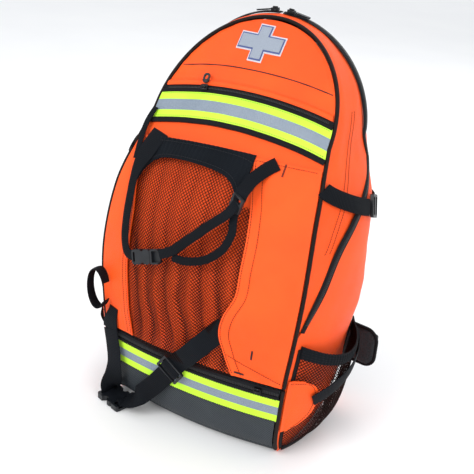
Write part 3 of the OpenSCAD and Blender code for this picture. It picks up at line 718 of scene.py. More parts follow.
def make_studio():
    area_light("key", (-0.7, -2.1, 1.9), 1.5, 36)
    area_light("fill", (2.0, -1.3, 1.3), 1.8, 20, (1, 0.98, 0.96))
    area_light("rim", (0.2, 1.9, 1.9), 1.4, 18)
    world = bpy.data.worlds.new("studio")
    world.use_nodes = True
    back = world.node_tree.nodes["Background"]
    back.inputs[0].default_value = (0.95, 0.97, 1.0, 1)
    back.inputs[1].default_value = 0.95
    bpy.context.scene.world = world
    bpy.context.scene.view_settings.view_transform = "Standard"
    n = Nodes("floor")
    paint = n.ramp(n.noise(3.0, 2.0), [(0.3, (0.9, 0.9, 0.9)), (0.7, (0.92, 0.92, 0.915))])
    n.finish(paint, 0.7)
    mesh = bpy.data.meshes.new("floor")
    half = 9.0
    mesh.from_pydata([(-half, -half, 0), (half, -half, 0), (half, half, 0), (-half, half, 0)],
                     [], [(0, 1, 2, 3)])
    mesh.materials.append(n.material)
    floor = bpy.data.objects.new("floor", mesh)
    bpy.context.scene.collection.objects.link(floor)


# ---------------------------------------------------------------- base and shell

EDGE, SEAM, WALL = 4.5, 1.5, 3.6    # as in the CAD model
CLOSE = 3.0                         # how near the cloth comes to the piping


def rise(x, z):
    """Slow unevenness of the front, none close to the hard pieces that lie on it."""
    calm = ease(z, 126, 155) * (1 - np.exp(-((np.asarray(z, float) - 468) / 15) ** 2))
    border = np.clip((half_width(z) - np.abs(x)) / 25, 0, 1)
    return 1.3 * waves(x, z, 5, 135) * calm * border


def on_front(x, z, d=0.0):
    x, z, d = np.broadcast_arrays(*[np.asarray(a, float) for a in (x, z, d)])
    return front_at(x, z, d + rise(x, z))


def front_row(x, z, d):
    """A row of points over the uneven front, with the ways out of it."""
    return on_front(x, z, d), front_n(x, z)


def seam_z(x):
    """The sewn seam under the patch."""
    return 495 - 13 * (np.asarray(x, float) / 119) ** 2


def make_boot():
    top, r = HINGE_Z - 1.5, 11.0
    back = np.linspace(0, 1, 16)[:-1]
    turn = np.radians(np.linspace(0, 90, 8))
    wall = np.linspace(r, top, 26)[1:]
    u = np.linspace(-1, 1, 61)

    def layer(depth):
        rows = []
        for s in back:
            v = 1 - s
            half = side_raw(0, v)[0] - EDGE - 1 - depth
            x = half * u
            rear = BACK_EDGE[0][1] - EDGE - 1 - depth
            front = front_y(x, 0) + r
            rows.append(np.stack([x, mix(rear, front, s), np.full_like(x, depth)], -1))
        for a in turn:
            k = r - depth
            x = (half_width(0) - EDGE) * u
            rows.append(np.stack([x, front_y(x, 0) + r - k * math.sin(a),
                                  np.full_like(x, r - k * math.cos(a))], -1))
        for z in wall:
            x = (half_width(z) - EDGE) * u
            soft = 1.1 * waves(x, z, 11, 120) * ease(z, 12, 30) * ease(top - z, 0, 20) \
                * ease(half_width(z) - np.abs(x), 5, 25)
            soft = np.minimum(soft, 0.2) - depth
            rows.append(front_at(x, np.full_like(x, z), soft))
        return np.array(rows)

    outer = layer(0.0)
    sheet("boot", outer, layer(WALL), "pack", "boot_fabric", ["boot", "lining"],
          ["base_panel", "boot_front"])


def shell_soft(q, v, seed):
    """Unevenness of the sides, with small gathers along the seams."""
    d = depth_at(q)
    near = np.exp(-v * d / 9) + np.exp(-(1 - v) * d / 9)
    calm = ease(v * d, 2, 22) * ease((1 - v) * d, 2, 22)
    return 1.6 * waves(q, v * 160, seed, 115) * calm \
        + 0.35 * near * np.sin(q * 2 * math.pi / 17 + 3 * waves(q, v * 30, seed + 1, 60))


def hoop(rows_side, rows_arch):
    """Rows that run up the right side, over the arch and down the left side."""
    out = [(q, False) for q in rows_side] + [(q, False) for q in rows_arch]
    return out + [(q, True) for q in rows_side[::-1]]


def hoop_grid(rows, cols, front, rear, depth, seed):
    out = []
    for q, left in rows:
        v = mix(front(q), rear(q), cols)
        q_all = np.full_like(v, q)
        p = side_at(q_all, v, shell_soft(q_all, v, seed + (7 if left else 0)) - depth)
        out.append(flip(p) if left else p)
    return np.array(out)


def make_shell():
    over = ARCH_Z + np.linspace(0.6, 179.4, 90)
    lid = hoop(np.linspace(208, ARCH_Z - 0.2, 74), over)

    def lid_front(q):
        return CLOSE / depth_at(q)

    def lid_rear(q):
        return zip_v(q) - SEAM / depth_at(q)

    cols = np.linspace(0, 1, 26)
    outer = hoop_grid(lid, cols, lid_front, lid_rear, 0.0, 21)
    sheet("lid_gusset", outer, hoop_grid(lid, cols, lid_front, lid_rear, WALL, 21),
          "front_lid", "orange_fabric", ["orange", "lining"],
          ["gusset_right", "gusset_left", "crown_front"])

    rear = hoop(np.linspace(2, ARCH_Z - 0.2, 130), over)

    def rear_front(q):
        return mix(CLOSE / depth_at(q), zip_v(q) + SEAM / depth_at(q), ease(q, 196, 212))

    def rear_rear(q):
        return 1 - 4 / depth_at(q)

    cols = np.linspace(0, 1, 40)
    outer = hoop_grid(rear, cols, rear_front, rear_rear, 0.0, 33)
    sheet("rear_shell", outer, hoop_grid(rear, cols, rear_front, rear_rear, WALL, 33),
          "pack", "orange_fabric", ["orange", "lining"],
          ["side_right", "side_left", "crown_rear"])


def arch_rows(low, inset, straight=70, curved=44):
    lower = np.linspace(low, ARCH_Z, straight)
    upper = ARCH_Z + (ARCH_R - inset) * np.sin(np.radians(np.linspace(1.5, 88.6, curved)))
    return np.concatenate([lower, upper])


def make_front_panel():
    z, u = lattice(arch_rows(HINGE_Z + 2, CLOSE), np.linspace(-1, 1, 91))
    x = u * half_width(z, CLOSE)
    border = half_width(z, CLOSE) - np.abs(x)
    gathers = 0.4 * np.exp(-border / 8) * np.sin(z * 2 * math.pi / 15
                                                  + 3 * waves(x, z, 9, 70))
    step = (z - seam_z(x)) / 1.5
    seam = 0.9 / (1 + np.exp(-step * 2)) - 1.0 * np.exp(-step ** 2)
    free = ease(z, 404, 412)
    soft = gathers * free + seam * ease(border, 0, 6) - 0.5
    outer = on_front(x, z, soft)
    sheet("front_shell", outer, on_front(x, z, soft - WALL + 0.5), "front_lid",
          "orange_fabric", ["orange", "lining"], ["front_panel"])
    x = np.linspace(-115, 115, 150)
    x = x[np.abs(x) < half_width(seam_z(x)) - 5]
    z = seam_z(x)
    tube("seam_line", on_front(x, z, -0.5), 0.75, "front_lid", "orange_fabric",
         "thread_black", sides=8)


def make_back_panel():
    z, u = lattice(arch_rows(2, 10, 60, 30), np.linspace(-1, 1, 61))
    x = u * half_width(z, 10)
    soft = 0.8 * waves(x, z, 15, 120) * ease(half_width(z, 10) - np.abs(x), 2, 25)
    back = np.stack([x, curve(BACK_EDGE, z) + np.minimum(soft, 0.4), z], -1)
    inner = np.stack([x, curve(BACK_EDGE, z) - 3 + np.minimum(soft, 0.4), z], -1)
    sheet("back_shell", back, inner, "pack", "webbing", ["binding", "lining"],
          ["back_panel"])
    edge = [np.stack([s * half_width(zz, 9) * np.ones(1), curve(BACK_EDGE, zz) - 1 +
                      np.zeros(1), zz * np.ones(1)], -1)[0]
            for s, zs in ((1, arch_rows(3, 9, 40, 40)), (-1, arch_rows(3, 9, 40, 40)[::-1]))
            for zz in zs]
    tube("back_binding", edge, 3.4, "pack", "piping", "binding")


def make_piping():
    low = np.linspace(HINGE_Z + 4, ARCH_Z, 70)
    turn = np.radians(np.linspace(1.5, 178.5, 110))
    right = np.stack([half_width(low), curve(FRONT_EDGE, low), low], -1)
    z = ARCH_Z + ARCH_R * np.sin(turn)
    top = np.stack([ARCH_R * np.cos(turn), curve(FRONT_EDGE, z), z], -1)
    whole = np.concatenate([right, top, flip(right)[::-1]])
    tube("front_cord", whole, 2.5, "front_lid", "piping", "piping", ["front_piping"], 14)
    z = np.linspace(4.5, HINGE_Z - 0.5, 36)
    tuck = 9 * (1 - ease(z, 0, 16)) ** 2
    corner = np.stack([half_width(z) - 0.3 - tuck, curve(FRONT_EDGE, z) + 0.2 + tuck, z], -1)
    tube("boot_cord_right", corner, 2.7, "pack", "piping", "piping")
    tube("boot_cord_left", flip(corner), 2.7, "pack", "piping", "piping")


# ---------------------------------------------------------------- tapes and zips

UPPER_RISE = 16.0
UPPER_R = (130 ** 2 + UPPER_RISE ** 2) / (2 * UPPER_RISE)
TAPE_Z, TAPE_H, ZIP_Z = 445.0, 31.0, 466.0
BASE_ZIP_Z, LOW_TAPE_Z, LOW_TAPE_H = 110.5, 84.0, 38.0


def upper_arc(x):
    return np.sqrt(UPPER_R ** 2 - np.asarray(x, float) ** 2) - UPPER_R


def reach_at(z):
    """How far a band reaches sideways at a height, up to the piping."""
    return half_width(z) - EDGE - 0.6


def arc_line(z0, reach=1.0):
    """x and z along an arc over the front, from piping to piping."""
    share = np.linspace(-1, 1, 110) * reach
    x = share * 124.0
    for _ in range(3):
        x = share * (half_width(z0 + upper_arc(x)) - 2.4)
    return x, z0 + upper_arc(x)


def arc_band(z0, height, d):
    """Points of a band along an arc, and their place on the tape."""
    share = np.linspace(-0.5, 0.5, 9)
    lines = np.array([arc_line(z0 + k * height) for k in share])
    x, z = lines[:, 0], lines[:, 1]
    k = share[:, None] * np.ones_like(x)
    return on_front(x, z, d), np.stack([k * height, x], -1)


def make_tapes():
    outer, cloth = arc_band(TAPE_Z, TAPE_H + 3, 1.8)
    inner, _ = arc_band(TAPE_Z, TAPE_H + 3, 0.6)
    sheet("upper_reflective", outer, inner, "front_lid", "reflective_tape", ["tape"],
          ["upper_tape"], cloth)
    k, t = lattice(np.linspace(-0.5, 0.5, 9), np.linspace(-1, 1, 100))
    z = LOW_TAPE_Z + k * LOW_TAPE_H
    x = t * (half_width(z) - 2.6)
    cloth = np.stack([k * LOW_TAPE_H, x], -1)
    sheet("lower_reflective", on_front(x, z, 1.6), on_front(x, z, 0.3), "pack",
          "reflective_tape", ["tape"], ["lower_tape"], cloth)
    for name, z0, width in (("upper_band_low", 426.4, 7.5), ("upper_band_top", 462.5, 5.0)):
        x, z = arc_line(z0)
        strap(name, *front_row(x, z, 0.7), width, 2.0, "front_lid", "piping",
              "binding")
    rows = []
    for z0 in (431.4, 459.0):
        x, z = arc_line(z0, 0.97)
        rows.append(front_row(x, z, 1.7))
    stitches("tape_stitches", rows, "front_lid", "reflective_tape", "thread_black", 3.4,
             (2.3, 0.5, 0.35))
    x = np.linspace(-0.97, 0.97, 100) * half_width(LOW_TAPE_Z)
    rows = [(on_front(x, np.full_like(x, z0), 1.5), front_n(x, np.full_like(x, z0)))
            for z0 in (LOW_TAPE_Z - 17.2, LOW_TAPE_Z + 17.2)]
    stitches("low_tape_stitches", rows, "pack", "reflective_tape", "thread_black", 3.4,
             (2.3, 0.5, 0.35))


TOOTH_PITCH = 2.3


def teeth(name, points, normals, body, width=5.0):
    p, n = resample(points, normals, TOOTH_PITCH)
    return blocks(name, p, np.gradient(p, axis=0), n, (1.35, width, 1.1), body, "zip_tape",
                  "teeth", 0.7)


def make_zips():
    q = np.linspace(206, ARCH_Z - 4, 66)
    turn = np.radians(np.linspace(2, 88.8, 50))
    for side, left in SIDES:
        def route(d):
            low = side_at(q, zip_v(q), np.full_like(q, d))
            r = ARCH_R + 3.9 + d
            top = np.stack([r * np.cos(turn), np.full_like(turn, ZIP_Y),
                            ARCH_Z + r * np.sin(turn)], -1)
            normal = np.concatenate([side_n(q, zip_v(q)),
                                     np.stack([np.cos(turn), 0 * turn, np.sin(turn)], -1)])
            points = np.concatenate([low, top])
            return (flip(points), flip(normal)) if left else (points, normal)
        p, n = route(0.5)
        width = np.full(len(p), 12.6)
        width[:len(q)] = mix(7.0, 12.6, ease(q, 206, 262))
        strap("main_zip_tape_" + side, p, n, width, 1.3, "pack", "zip_tape", "binding",
              ["main_zip_" + side])
        p, n = route(1.9)
        teeth("main_zip_teeth_" + side, p[3:], n[3:], "pack")
    x = np.linspace(-1, 1, 80) * reach_at(BASE_ZIP_Z)
    z = np.full_like(x, BASE_ZIP_Z)
    strap("base_zip_tape", *front_row(x, z, 0.3), 11.0, 1.0, "pack", "zip_tape",
          "binding", ["base_zip"])
    teeth("base_zip_teeth", *front_row(x, z, 1.3), "pack", 4.6)
    for name, z0 in (("base_zip_lip_low", 104.6), ("base_zip_lip_high", 115.2)):
        z = np.full_like(x, z0)
        strap(name, *front_row(x, z, 0.6), 5.0, 1.6, "pack", "piping", "binding")
    x, z = arc_line(ZIP_Z)
    strap("upper_zip_tape", *front_row(x, z, 0.5), 8.6, 1.2, "front_lid",
          "zip_tape", "binding", ["upper_zip"])
    x, z = arc_line(ZIP_Z, 0.95)
    teeth("upper_zip_teeth", *front_row(x, z, 1.7), "front_lid", 3.6)
    outer, inner = [], []
    for t in np.linspace(0, 1, 7):
        x, z = arc_line(ZIP_Z + 3.4 + 6.6 * t, 0.985)
        lift = 0.4 + 2.6 * math.sin(math.pi * (0.1 + 0.86 * t)) ** 0.8
        outer.append(on_front(x, z, lift + 0.6))
        inner.append(on_front(x, z, lift - 0.4))
    sheet("zip_flap", np.array(outer), np.array(inner), "front_lid", "orange_fabric",
          ["orange", "orange_in"])
    x, z = arc_line(ZIP_Z + 8.6, 0.97)
    stitches("flap_stitches", [front_row(x, z, 2.2)], "front_lid",
             "orange_fabric", "thread_dark", 3.4, (2.6, 0.6, 0.5))


# ---------------------------------------------------------------- the medical patch


def cell_patch(name, xs, zs, keep, low, high, body, slot, material, replaces=()):
    """Raised patch of the cells of a small grid for which keep(x, z) holds."""
    x, z = lattice(xs, zs)
    grid_low, grid_high = low(x, z), high(x, z)
    m, n = x.shape
    cx, cz = lattice((xs[1:] + xs[:-1]) / 2, (zs[1:] + zs[:-1]) / 2)
    kept = keep(cx, cz)
    index = np.arange(m * n).reshape(m, n)
    faces = []
    for i in range(m - 1):
        for j in range(n - 1):
            if not kept[i, j]:
                continue
            ring = [index[i, j], index[i + 1, j], index[i + 1, j + 1], index[i, j + 1]]
            faces.append([int(k) + m * n for k in ring])
            faces.append([int(k) for k in ring[::-1]])
            for di, dj, a, b in ((-1, 0, 0, 3), (1, 0, 2, 1), (0, -1, 1, 0), (0, 1, 3, 2)):
                ii, jj = i + di, j + dj
                if not (0 <= ii < m - 1 and 0 <= jj < n - 1) or not kept[ii, jj]:
                    faces.append([int(ring[a]), int(ring[b]), int(ring[b]) + m * n,
                                  int(ring[a]) + m * n])
    points = np.concatenate([grid_low.reshape(-1, 3), grid_high.reshape(-1, 3)])
    used = sorted({k for f in faces for k in f})
    place = {k: i for i, k in enumerate(used)}
    cloth = np.concatenate([np.stack([x + z, z - x], -1).reshape(-1, 2)] * 2)
    piece = build(name, points[used], [[place[k] for k in f] for f in faces], body, slot,
                  [material], replaces, cloth[used], sharp=40)
    face_outwards(piece)
    return piece


def make_patch():
    at_x, at_z = -6.0, 526.0
    for name, inset, low, high, material in (
            ("patch_border", 0.0, 0.2, 1.6, "rim"), ("patch_blue", 1.6, 1.2, 2.3, "blue"),
            ("patch_cross", 3.2, 1.8, 3.0, "patch")):
        arm, wide, tall = 10.5 - inset, 33.5 - inset, 22.0 - inset
        xs = np.unique(np.concatenate([np.linspace(-wide, -arm, 12), np.linspace(-arm, arm, 12),
                                       np.linspace(arm, wide, 12)]).round(4))
        zs = np.unique(np.concatenate([np.linspace(-tall, -arm, 9), np.linspace(-arm, arm, 12),
                                       np.linspace(arm, tall, 9)]).round(4))
        keep = lambda x, z, a=arm: (np.abs(x) < a) | (np.abs(z) < a)
        cell_patch(name, xs, zs, keep,
                   lambda x, z, d=low: on_front(x + at_x, z + at_z, d),
                   lambda x, z, d=high: on_front(x + at_x, z + at_z, d),
                   "front_lid", "patch", material,
                   ["medical_patch"] if inset == 0.0 else ())


# ---------------------------------------------------------------- front pocket

WING_RIGHT = [(122, 74), (154, 60), (180, 52), (205, 56), (238, 70), (272, 71), (310, 70),
              (344, 64), (371, 54), (404, 44)]
WING_LEFT = [(120, -89), (161, -96), (220, -102), (269, -105), (315, -109), (357, -118),
             (396, -125)]
POCKET_LOW, POCKET_HIGH, MESH_HIGH, MESH_RISE = 122.0, 400.0, 364.0, 10.0
HEM_LEFT, HEM_RIGHT = -112.0, 47.0


def bulge(x, z):
    """How far the mesh stands off the panel."""
    left, right = curve(WING_LEFT, z), curve(WING_RIGHT, z)
    t = np.clip((x - left) / (right - left), 0, 1)
    return MESH_RISE * np.sin(math.pi * t) ** 0.7


def fold_share(x, z):
    """How deep in a fold a point of the mesh is, from 0 to 1."""
    lean = x + 0.12 * (z - 120) + 3 * waves(x, z, 12, 90)
    return 0.5 + 0.36 * np.sin(lean * 2 * math.pi / 27) \
        + 0.14 * np.sin(lean * 2 * math.pi / 11 + z / 40)


def pleats(x, z):
    """Vertical folds of the slack mesh: grooves in the bulge, deepest low down."""
    depth = mix(6.5, 2.6, ease(z, 150, 330)) * ease(z, 122, 150)
    return -depth * fold_share(x, z) * bulge(x, z) / MESH_RISE


def make_mesh():
    def place(a, b, d):
        return on_front(a, b, 0.3 + bulge(a, b) + pleats(a, b) + d)

    def inside(a, b):
        return (a > curve(WING_LEFT, b) - 3.5) & (a < curve(WING_RIGHT, b) + 3.5) \
            & (b < hem_low(a) + 5)
    # The holes shrink deep in the folds, most of all low down: the denser dark net there is
    # painted shade for the folds.
    net("mesh_net", place, inside, ((-126, 80), (POCKET_LOW - 1, 374)), "front_lid",
        ["mesh_panel"], 2.3,
        lambda a, b: 0.82 - mix(0.25, 0.08, ease(b, 220, 340)) * fold_share(a, b) ** 2)


def hem_low(x):
    t = np.clip((np.asarray(x, float) - HEM_LEFT) / (HEM_RIGHT - HEM_LEFT), 0, 1)
    return MESH_HIGH + 6 - 30 * np.abs(2 * t - 1) ** 6 + 5 * np.sin(math.pi * t)


def hem_top(t):
    return POCKET_HIGH + 2 - 9 * (1 - t) ** 2 - 1.5 * np.sin(math.pi * t)


def make_hem():
    k, t = lattice(np.linspace(0, 1, 22), np.linspace(0, 1, 120))
    x = mix(HEM_LEFT, HEM_RIGHT, t)
    z = mix(hem_low(x), hem_top(t), k)
    roll = 1.1 * np.exp(-((k - 0.94) / 0.05) ** 2) + 0.8 * np.exp(-((k - 0.06) / 0.05) ** 2)
    gather = 0.45 * np.sin(x * 2 * math.pi / 6.3 + 2 * waves(x, z, 3, 40)) * (0.4 + k)
    d = 3.0 + 0.93 * bulge(x, z) + roll + gather
    outer = on_front(x, z, d + 1.4)
    sheet("mesh_hem_band", outer, on_front(x, z, d - 0.2), "front_lid", "mesh_hem",
          ["hem", "hem"], ["mesh_hem"])
    rows = []
    for share in (0.16, 0.84):
        xs = np.linspace(HEM_LEFT + 3, HEM_RIGHT - 3, 80)
        ts = (xs - HEM_LEFT) / (HEM_RIGHT - HEM_LEFT)
        zs = mix(hem_low(xs), hem_top(ts), share)
        rows.append((on_front(xs, zs, 4.5 + 0.93 * bulge(xs, zs)), front_n(xs, zs)))
    stitches("hem_stitches", rows, "front_lid", "mesh_hem", "thread_black", 3.6,
             (2.5, 0.7, 0.9))


def wing_edge(side, z, inset=0.0):
    return curve(WING_RIGHT, z) + inset if side == "right" else curve(WING_LEFT, z) - inset


def make_wings():
    for side, high in (("right", POCKET_HIGH), ("left", POCKET_HIGH - 8)):
        z, t = lattice(np.linspace(POCKET_LOW, high, 80), np.linspace(0, 1, 34))
        inner = wing_edge(side, z)
        sign = 1 if side == "right" else -1
        outer = sign * (half_width(z) - CLOSE - 0.4)
        x = mix(inner, outer, t)
        from_edge = np.abs(x - inner)
        roll = 1.1 * np.exp(-(from_edge / 3.0) ** 2) - 0.45 * np.exp(-((from_edge - 14) / 2.2)
                                                                      ** 2)
        lift = roll + 0.9 * np.clip(waves(x, z, 41, 85), -0.6, 1.2) * ease(from_edge, 4, 20) \
            * ease(np.abs(outer - x), 2, 18)
        top = on_front(x, z, 2.6 + lift)
        sheet("wing_" + side + "_panel", top, on_front(x, z, 0.7 + np.maximum(lift, 0) * 0.8),
              "front_lid", "orange_fabric", ["orange", "orange_in"], ["wing_" + side])
        rows = []
        for inset in (2.4, 14.5) if side == "right" else (2.4, 9.0):
            zs = np.linspace(POCKET_LOW + 3, high - 3, 130)
            xs = wing_edge(side, zs, inset)
            extra = 1.1 * math.exp(-(inset / 3.0) ** 2)
            rows.append(front_row(xs, zs, 2.5 + extra))
        xs = np.linspace(wing_edge(side, high - 2.5, 3), sign * (half_width(high) - 8),
                         40)
        zs = np.full_like(xs, high - 3.0)
        rows.append(front_row(xs, zs, 2.5))
        if side == "right":
            xs = np.linspace(61, 142, 40)
            zs = 152 - 24 * (xs - 61) / 81
            rows.append(front_row(xs, zs, 2.6))
        stitches("wing_" + side + "_stitches", rows, "front_lid", "orange_fabric",
                 "thread_dark", 3.3, (2.4, 0.65, 0.7))
    tacks = [((89, 399), (89, 386)), ((101, 168), (100, 155)), ((78, 128.5), (91, 128.5)),
             ((-131, 386), (-131, 374))]
    centres, ways, ups = [], [], []
    for (x0, z0), (x1, z1) in tacks:
        for s in np.linspace(0, 1, 12):
            x, z = mix(x0, x1, s), mix(z0, z1, s)
            centres.append(on_front(x, z, 2.9))
            ways.append([z1 - z0, 0, x0 - x1])
            ups.append(front_n(x, z))
    blocks("bar_tacks", centres, np.array(ways, float), np.array(ups), (2.4, 0.9, 0.9),
           "front_lid", "orange_fabric", "thread_black", 0.6)


# ---------------------------------------------------------------- straps on the front

LOWER_WIDTH, SIDE_WIDTH, HARNESS_WIDTH = 29, 22, 25     # webbing, in mm
# name of each strap, its route as (x, z, height over the front) and its width
UPPER = {
    "upper_strap_left": ([(-100, 399, 7.5), (-107, 378, 10), (-113, 350, 11), (-111, 322, 11),
                          (-108, 292, 11.5), (-102, 268, 14), (-92, 253, 17),
                          (-80, 250.5, 18.5)], 13),
    "upper_strap_right": ([(52, 347, 20), (49.5, 339, 22.8), (44, 333, 21), (34, 325, 18.6),
                           (20, 312, 19.3), (0, 292, 21.6), (-19, 275, 21.8),
                           (-36, 266.5, 20.4)], 13),
    "upper_strap_tail": ([(52, 343, 19), (51, 335, 15.2), (51, 327, 12.6), (53, 312, 12.5),
                          (46, 292, 14.5), (27, 276, 16.5), (2, 268, 17.5),
                          (-17, 268, 19.2)], 11),
    "upper_strap_tab": ([(78, 398, 4.2), (66, 388, 5.6), (58, 374, 13), (56, 364, 18.5),
                         (54.5, 356, 22.8), (53, 350, 20.5)], 19),
}
LOCK_END = [(-128, 425, 3.5), (-131, 406, 6), (-131, 385, 5), (-128, 362, 4)]
SIDE_LOOP = np.radians(np.linspace(-62, 242, 40))
LOWER_LEFT = [(-131, 117, 5.4), (-123, 88, 8), (-119, 62, 11)]
LOWER_LEFT_END = [((-124, -118, 40), (0.15, -1, 0)), ((-130, -116.5, 25), (0.55, -0.8, 0.1)),
                  ((-134.6, -113.8, 13), (0.95, -0.28, 0.1)),
                  ((-135.8, -113.4, 3.4), (0.96, -0.28, 0))]
LOWER_RIGHT_END = [((-98, -123.5, 14), (-0.2, -0.2, 1)), ((-83, -127, 19), (-0.5, -0.4, 0.8)),
                   ((-74, -128.5, 28), (-0.45, -0.75, 0.5))]
LOWER_RIGHT = [(-62, 42, 12), (-46, 60, 8), (-31, 80, 5), (-25, 88.5, 4.8), (-21, 94, 8.2),
               (-17, 99.5, 11.1), (-13, 105, 8.2), (-9, 110.5, 4.9), (-1, 120, 7),
               (10, 132, 12), (24, 149, 11.5), (35, 162, 7), (44, 172, 1.6), (52, 181, 0.1),
               (60, 190, -0.6)]
LOWER_END_LEFT = [(-127, 152, 1.6), (-129, 138, 4.4), (-131, 126, 5.2)]


def strap_route(first, middle, last):
    """Route from loose (point, normal) pairs, over the front, to more loose pairs."""
    m = np.array(middle, float)
    on_it = list(zip(front_at(m[:, 0], m[:, 1], m[:, 2]).tolist(),
                     front_n(m[:, 0], m[:, 1]).tolist()))
    points, normals = zip(*(first + on_it + last))
    normals = unit(np.array(normals, float))
    return bend(points, 8), unit(bend(normals, 8))


def fold_with_lid(piece):
    """Bakes the piece's placement into its points; it does not bend where the lid folds away
    from the pack.
    """
    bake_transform(piece)


def make_front_straps():
    for i, (name, (points, width)) in enumerate(UPPER.items()):
        p, n = front_route(points, 10)
        if i == 0:                  # widens into the hem's corner gusset
            width = mix(width, 29, ease(p[:, 2], 342, 384))
        strap(name, p, n, width, 1.5, "front_lid", replaces=["upper_strap"] if i == 0 else ())
    p, n = front_route(LOCK_END, 10)
    strap("upper_strap_end", p, n, 9, 1.4, "front_lid")
    p = front_at(-149 - 17 * np.sin(SIDE_LOOP), 178 - 29 * np.cos(SIDE_LOOP),
                 np.full(len(SIDE_LOOP), 12.5))
    n = np.stack([-np.sin(SIDE_LOOP), 0 * SIDE_LOOP, -np.cos(SIDE_LOOP)], -1)
    strap("side_loop", p, n, 15, 1.5, "front_lid")
    p, n = strap_route([], LOWER_LEFT, LOWER_LEFT_END)
    strap("lower_strap_left", p, n, LOWER_WIDTH, 1.6, "pack", replaces=["lower_strap"])
    p, n = strap_route([], LOWER_END_LEFT + LOWER_LEFT[:1], [])
    width = mix(LOWER_WIDTH, 17, ease(p[:, 2], 122, 150))
    fold_with_lid(strap("lower_strap_end_left", p, n, width, 1.6, None))
    p, n = strap_route(LOWER_RIGHT_END, LOWER_RIGHT, [])
    fold_with_lid(strap("lower_strap_right", p, n, LOWER_WIDTH, 1.6, None,
                        replaces=["lower_strap_ends"]))
    line = np.array([(-101.2, -123, 6.4), (-96.5, -124.4, 6.6), (-92.6, -125.4, 9.5),
                     (-93.5, -125, 13.6), (-99, -123.4, 15.4)])
    up = np.array([(0, 0, 1), (0.3, -0.1, -1), (1, -0.28, -0.1), (0.4, -0.1, 1), (-0.1, 0, 1)])
    strap("lower_strap_turn", bend(line, 6), unit(bend(unit(up), 6)), 28, 1.4,
          "lower_tongue")


# ---------------------------------------------------------------- sides

POCKET_FRONT, POCKET_BACK, POCKET_BULGE = 0.05, 0.8, 26.0
POCKET_LONG, POCKET_TALL = 172.0, 165.0     # the mesh's own size, along and up
POCKET_WEB = [(102, 0.165, 19.6), (106, 0.2, 22.2), (114, 0.3, 26), (123, 0.42, 27.5),
              (131, 0.55, 25), (137, 0.66, 19), (141, 0.75, 11), (143.5, 0.8, 5),
              (145, 0.86, 1.6)]
LOCK_TAB = [(330, 0.97, 1.5), (334, 0.86, 3), (338.5, 0.7, 5.5)]
COMPRESSION = [(381, 0.008, 1.4), (378, 0.03, 2.2), (370, 0.12, 3.2), (360, 0.26, 4.4),
               (350, 0.42, 5.2), (344, 0.53, 5.6)]


def hem_z(t):
    return 186 - 30 * t - 14 * np.sin(math.pi * t)


def pocket_d(t, h):
    return 1.5 + POCKET_BULGE * np.maximum(np.sin(math.pi * t), 0) ** 0.8 \
        * np.maximum(np.sin(np.minimum(h * 1.35, 1) * math.pi / 2), 0) ** 0.36 \
        * (1 - 0.25 * h * h)


def on_pocket(t, h, d):
    t, h, d = np.broadcast_arrays(*[np.asarray(a, float) for a in (t, h, d)])
    return side_at(mix(5, hem_z(t), h), mix(POCKET_FRONT, POCKET_BACK, t),
                   d + pocket_d(t, h))


def backwards(line):
    """The way towards the wearer, for each point of a line."""
    return np.broadcast_to([0.0, 1, 0], line.shape)


def both(left, points):
    """Points of the right side, mirrored for the left one."""
    return flip(points) if left else points


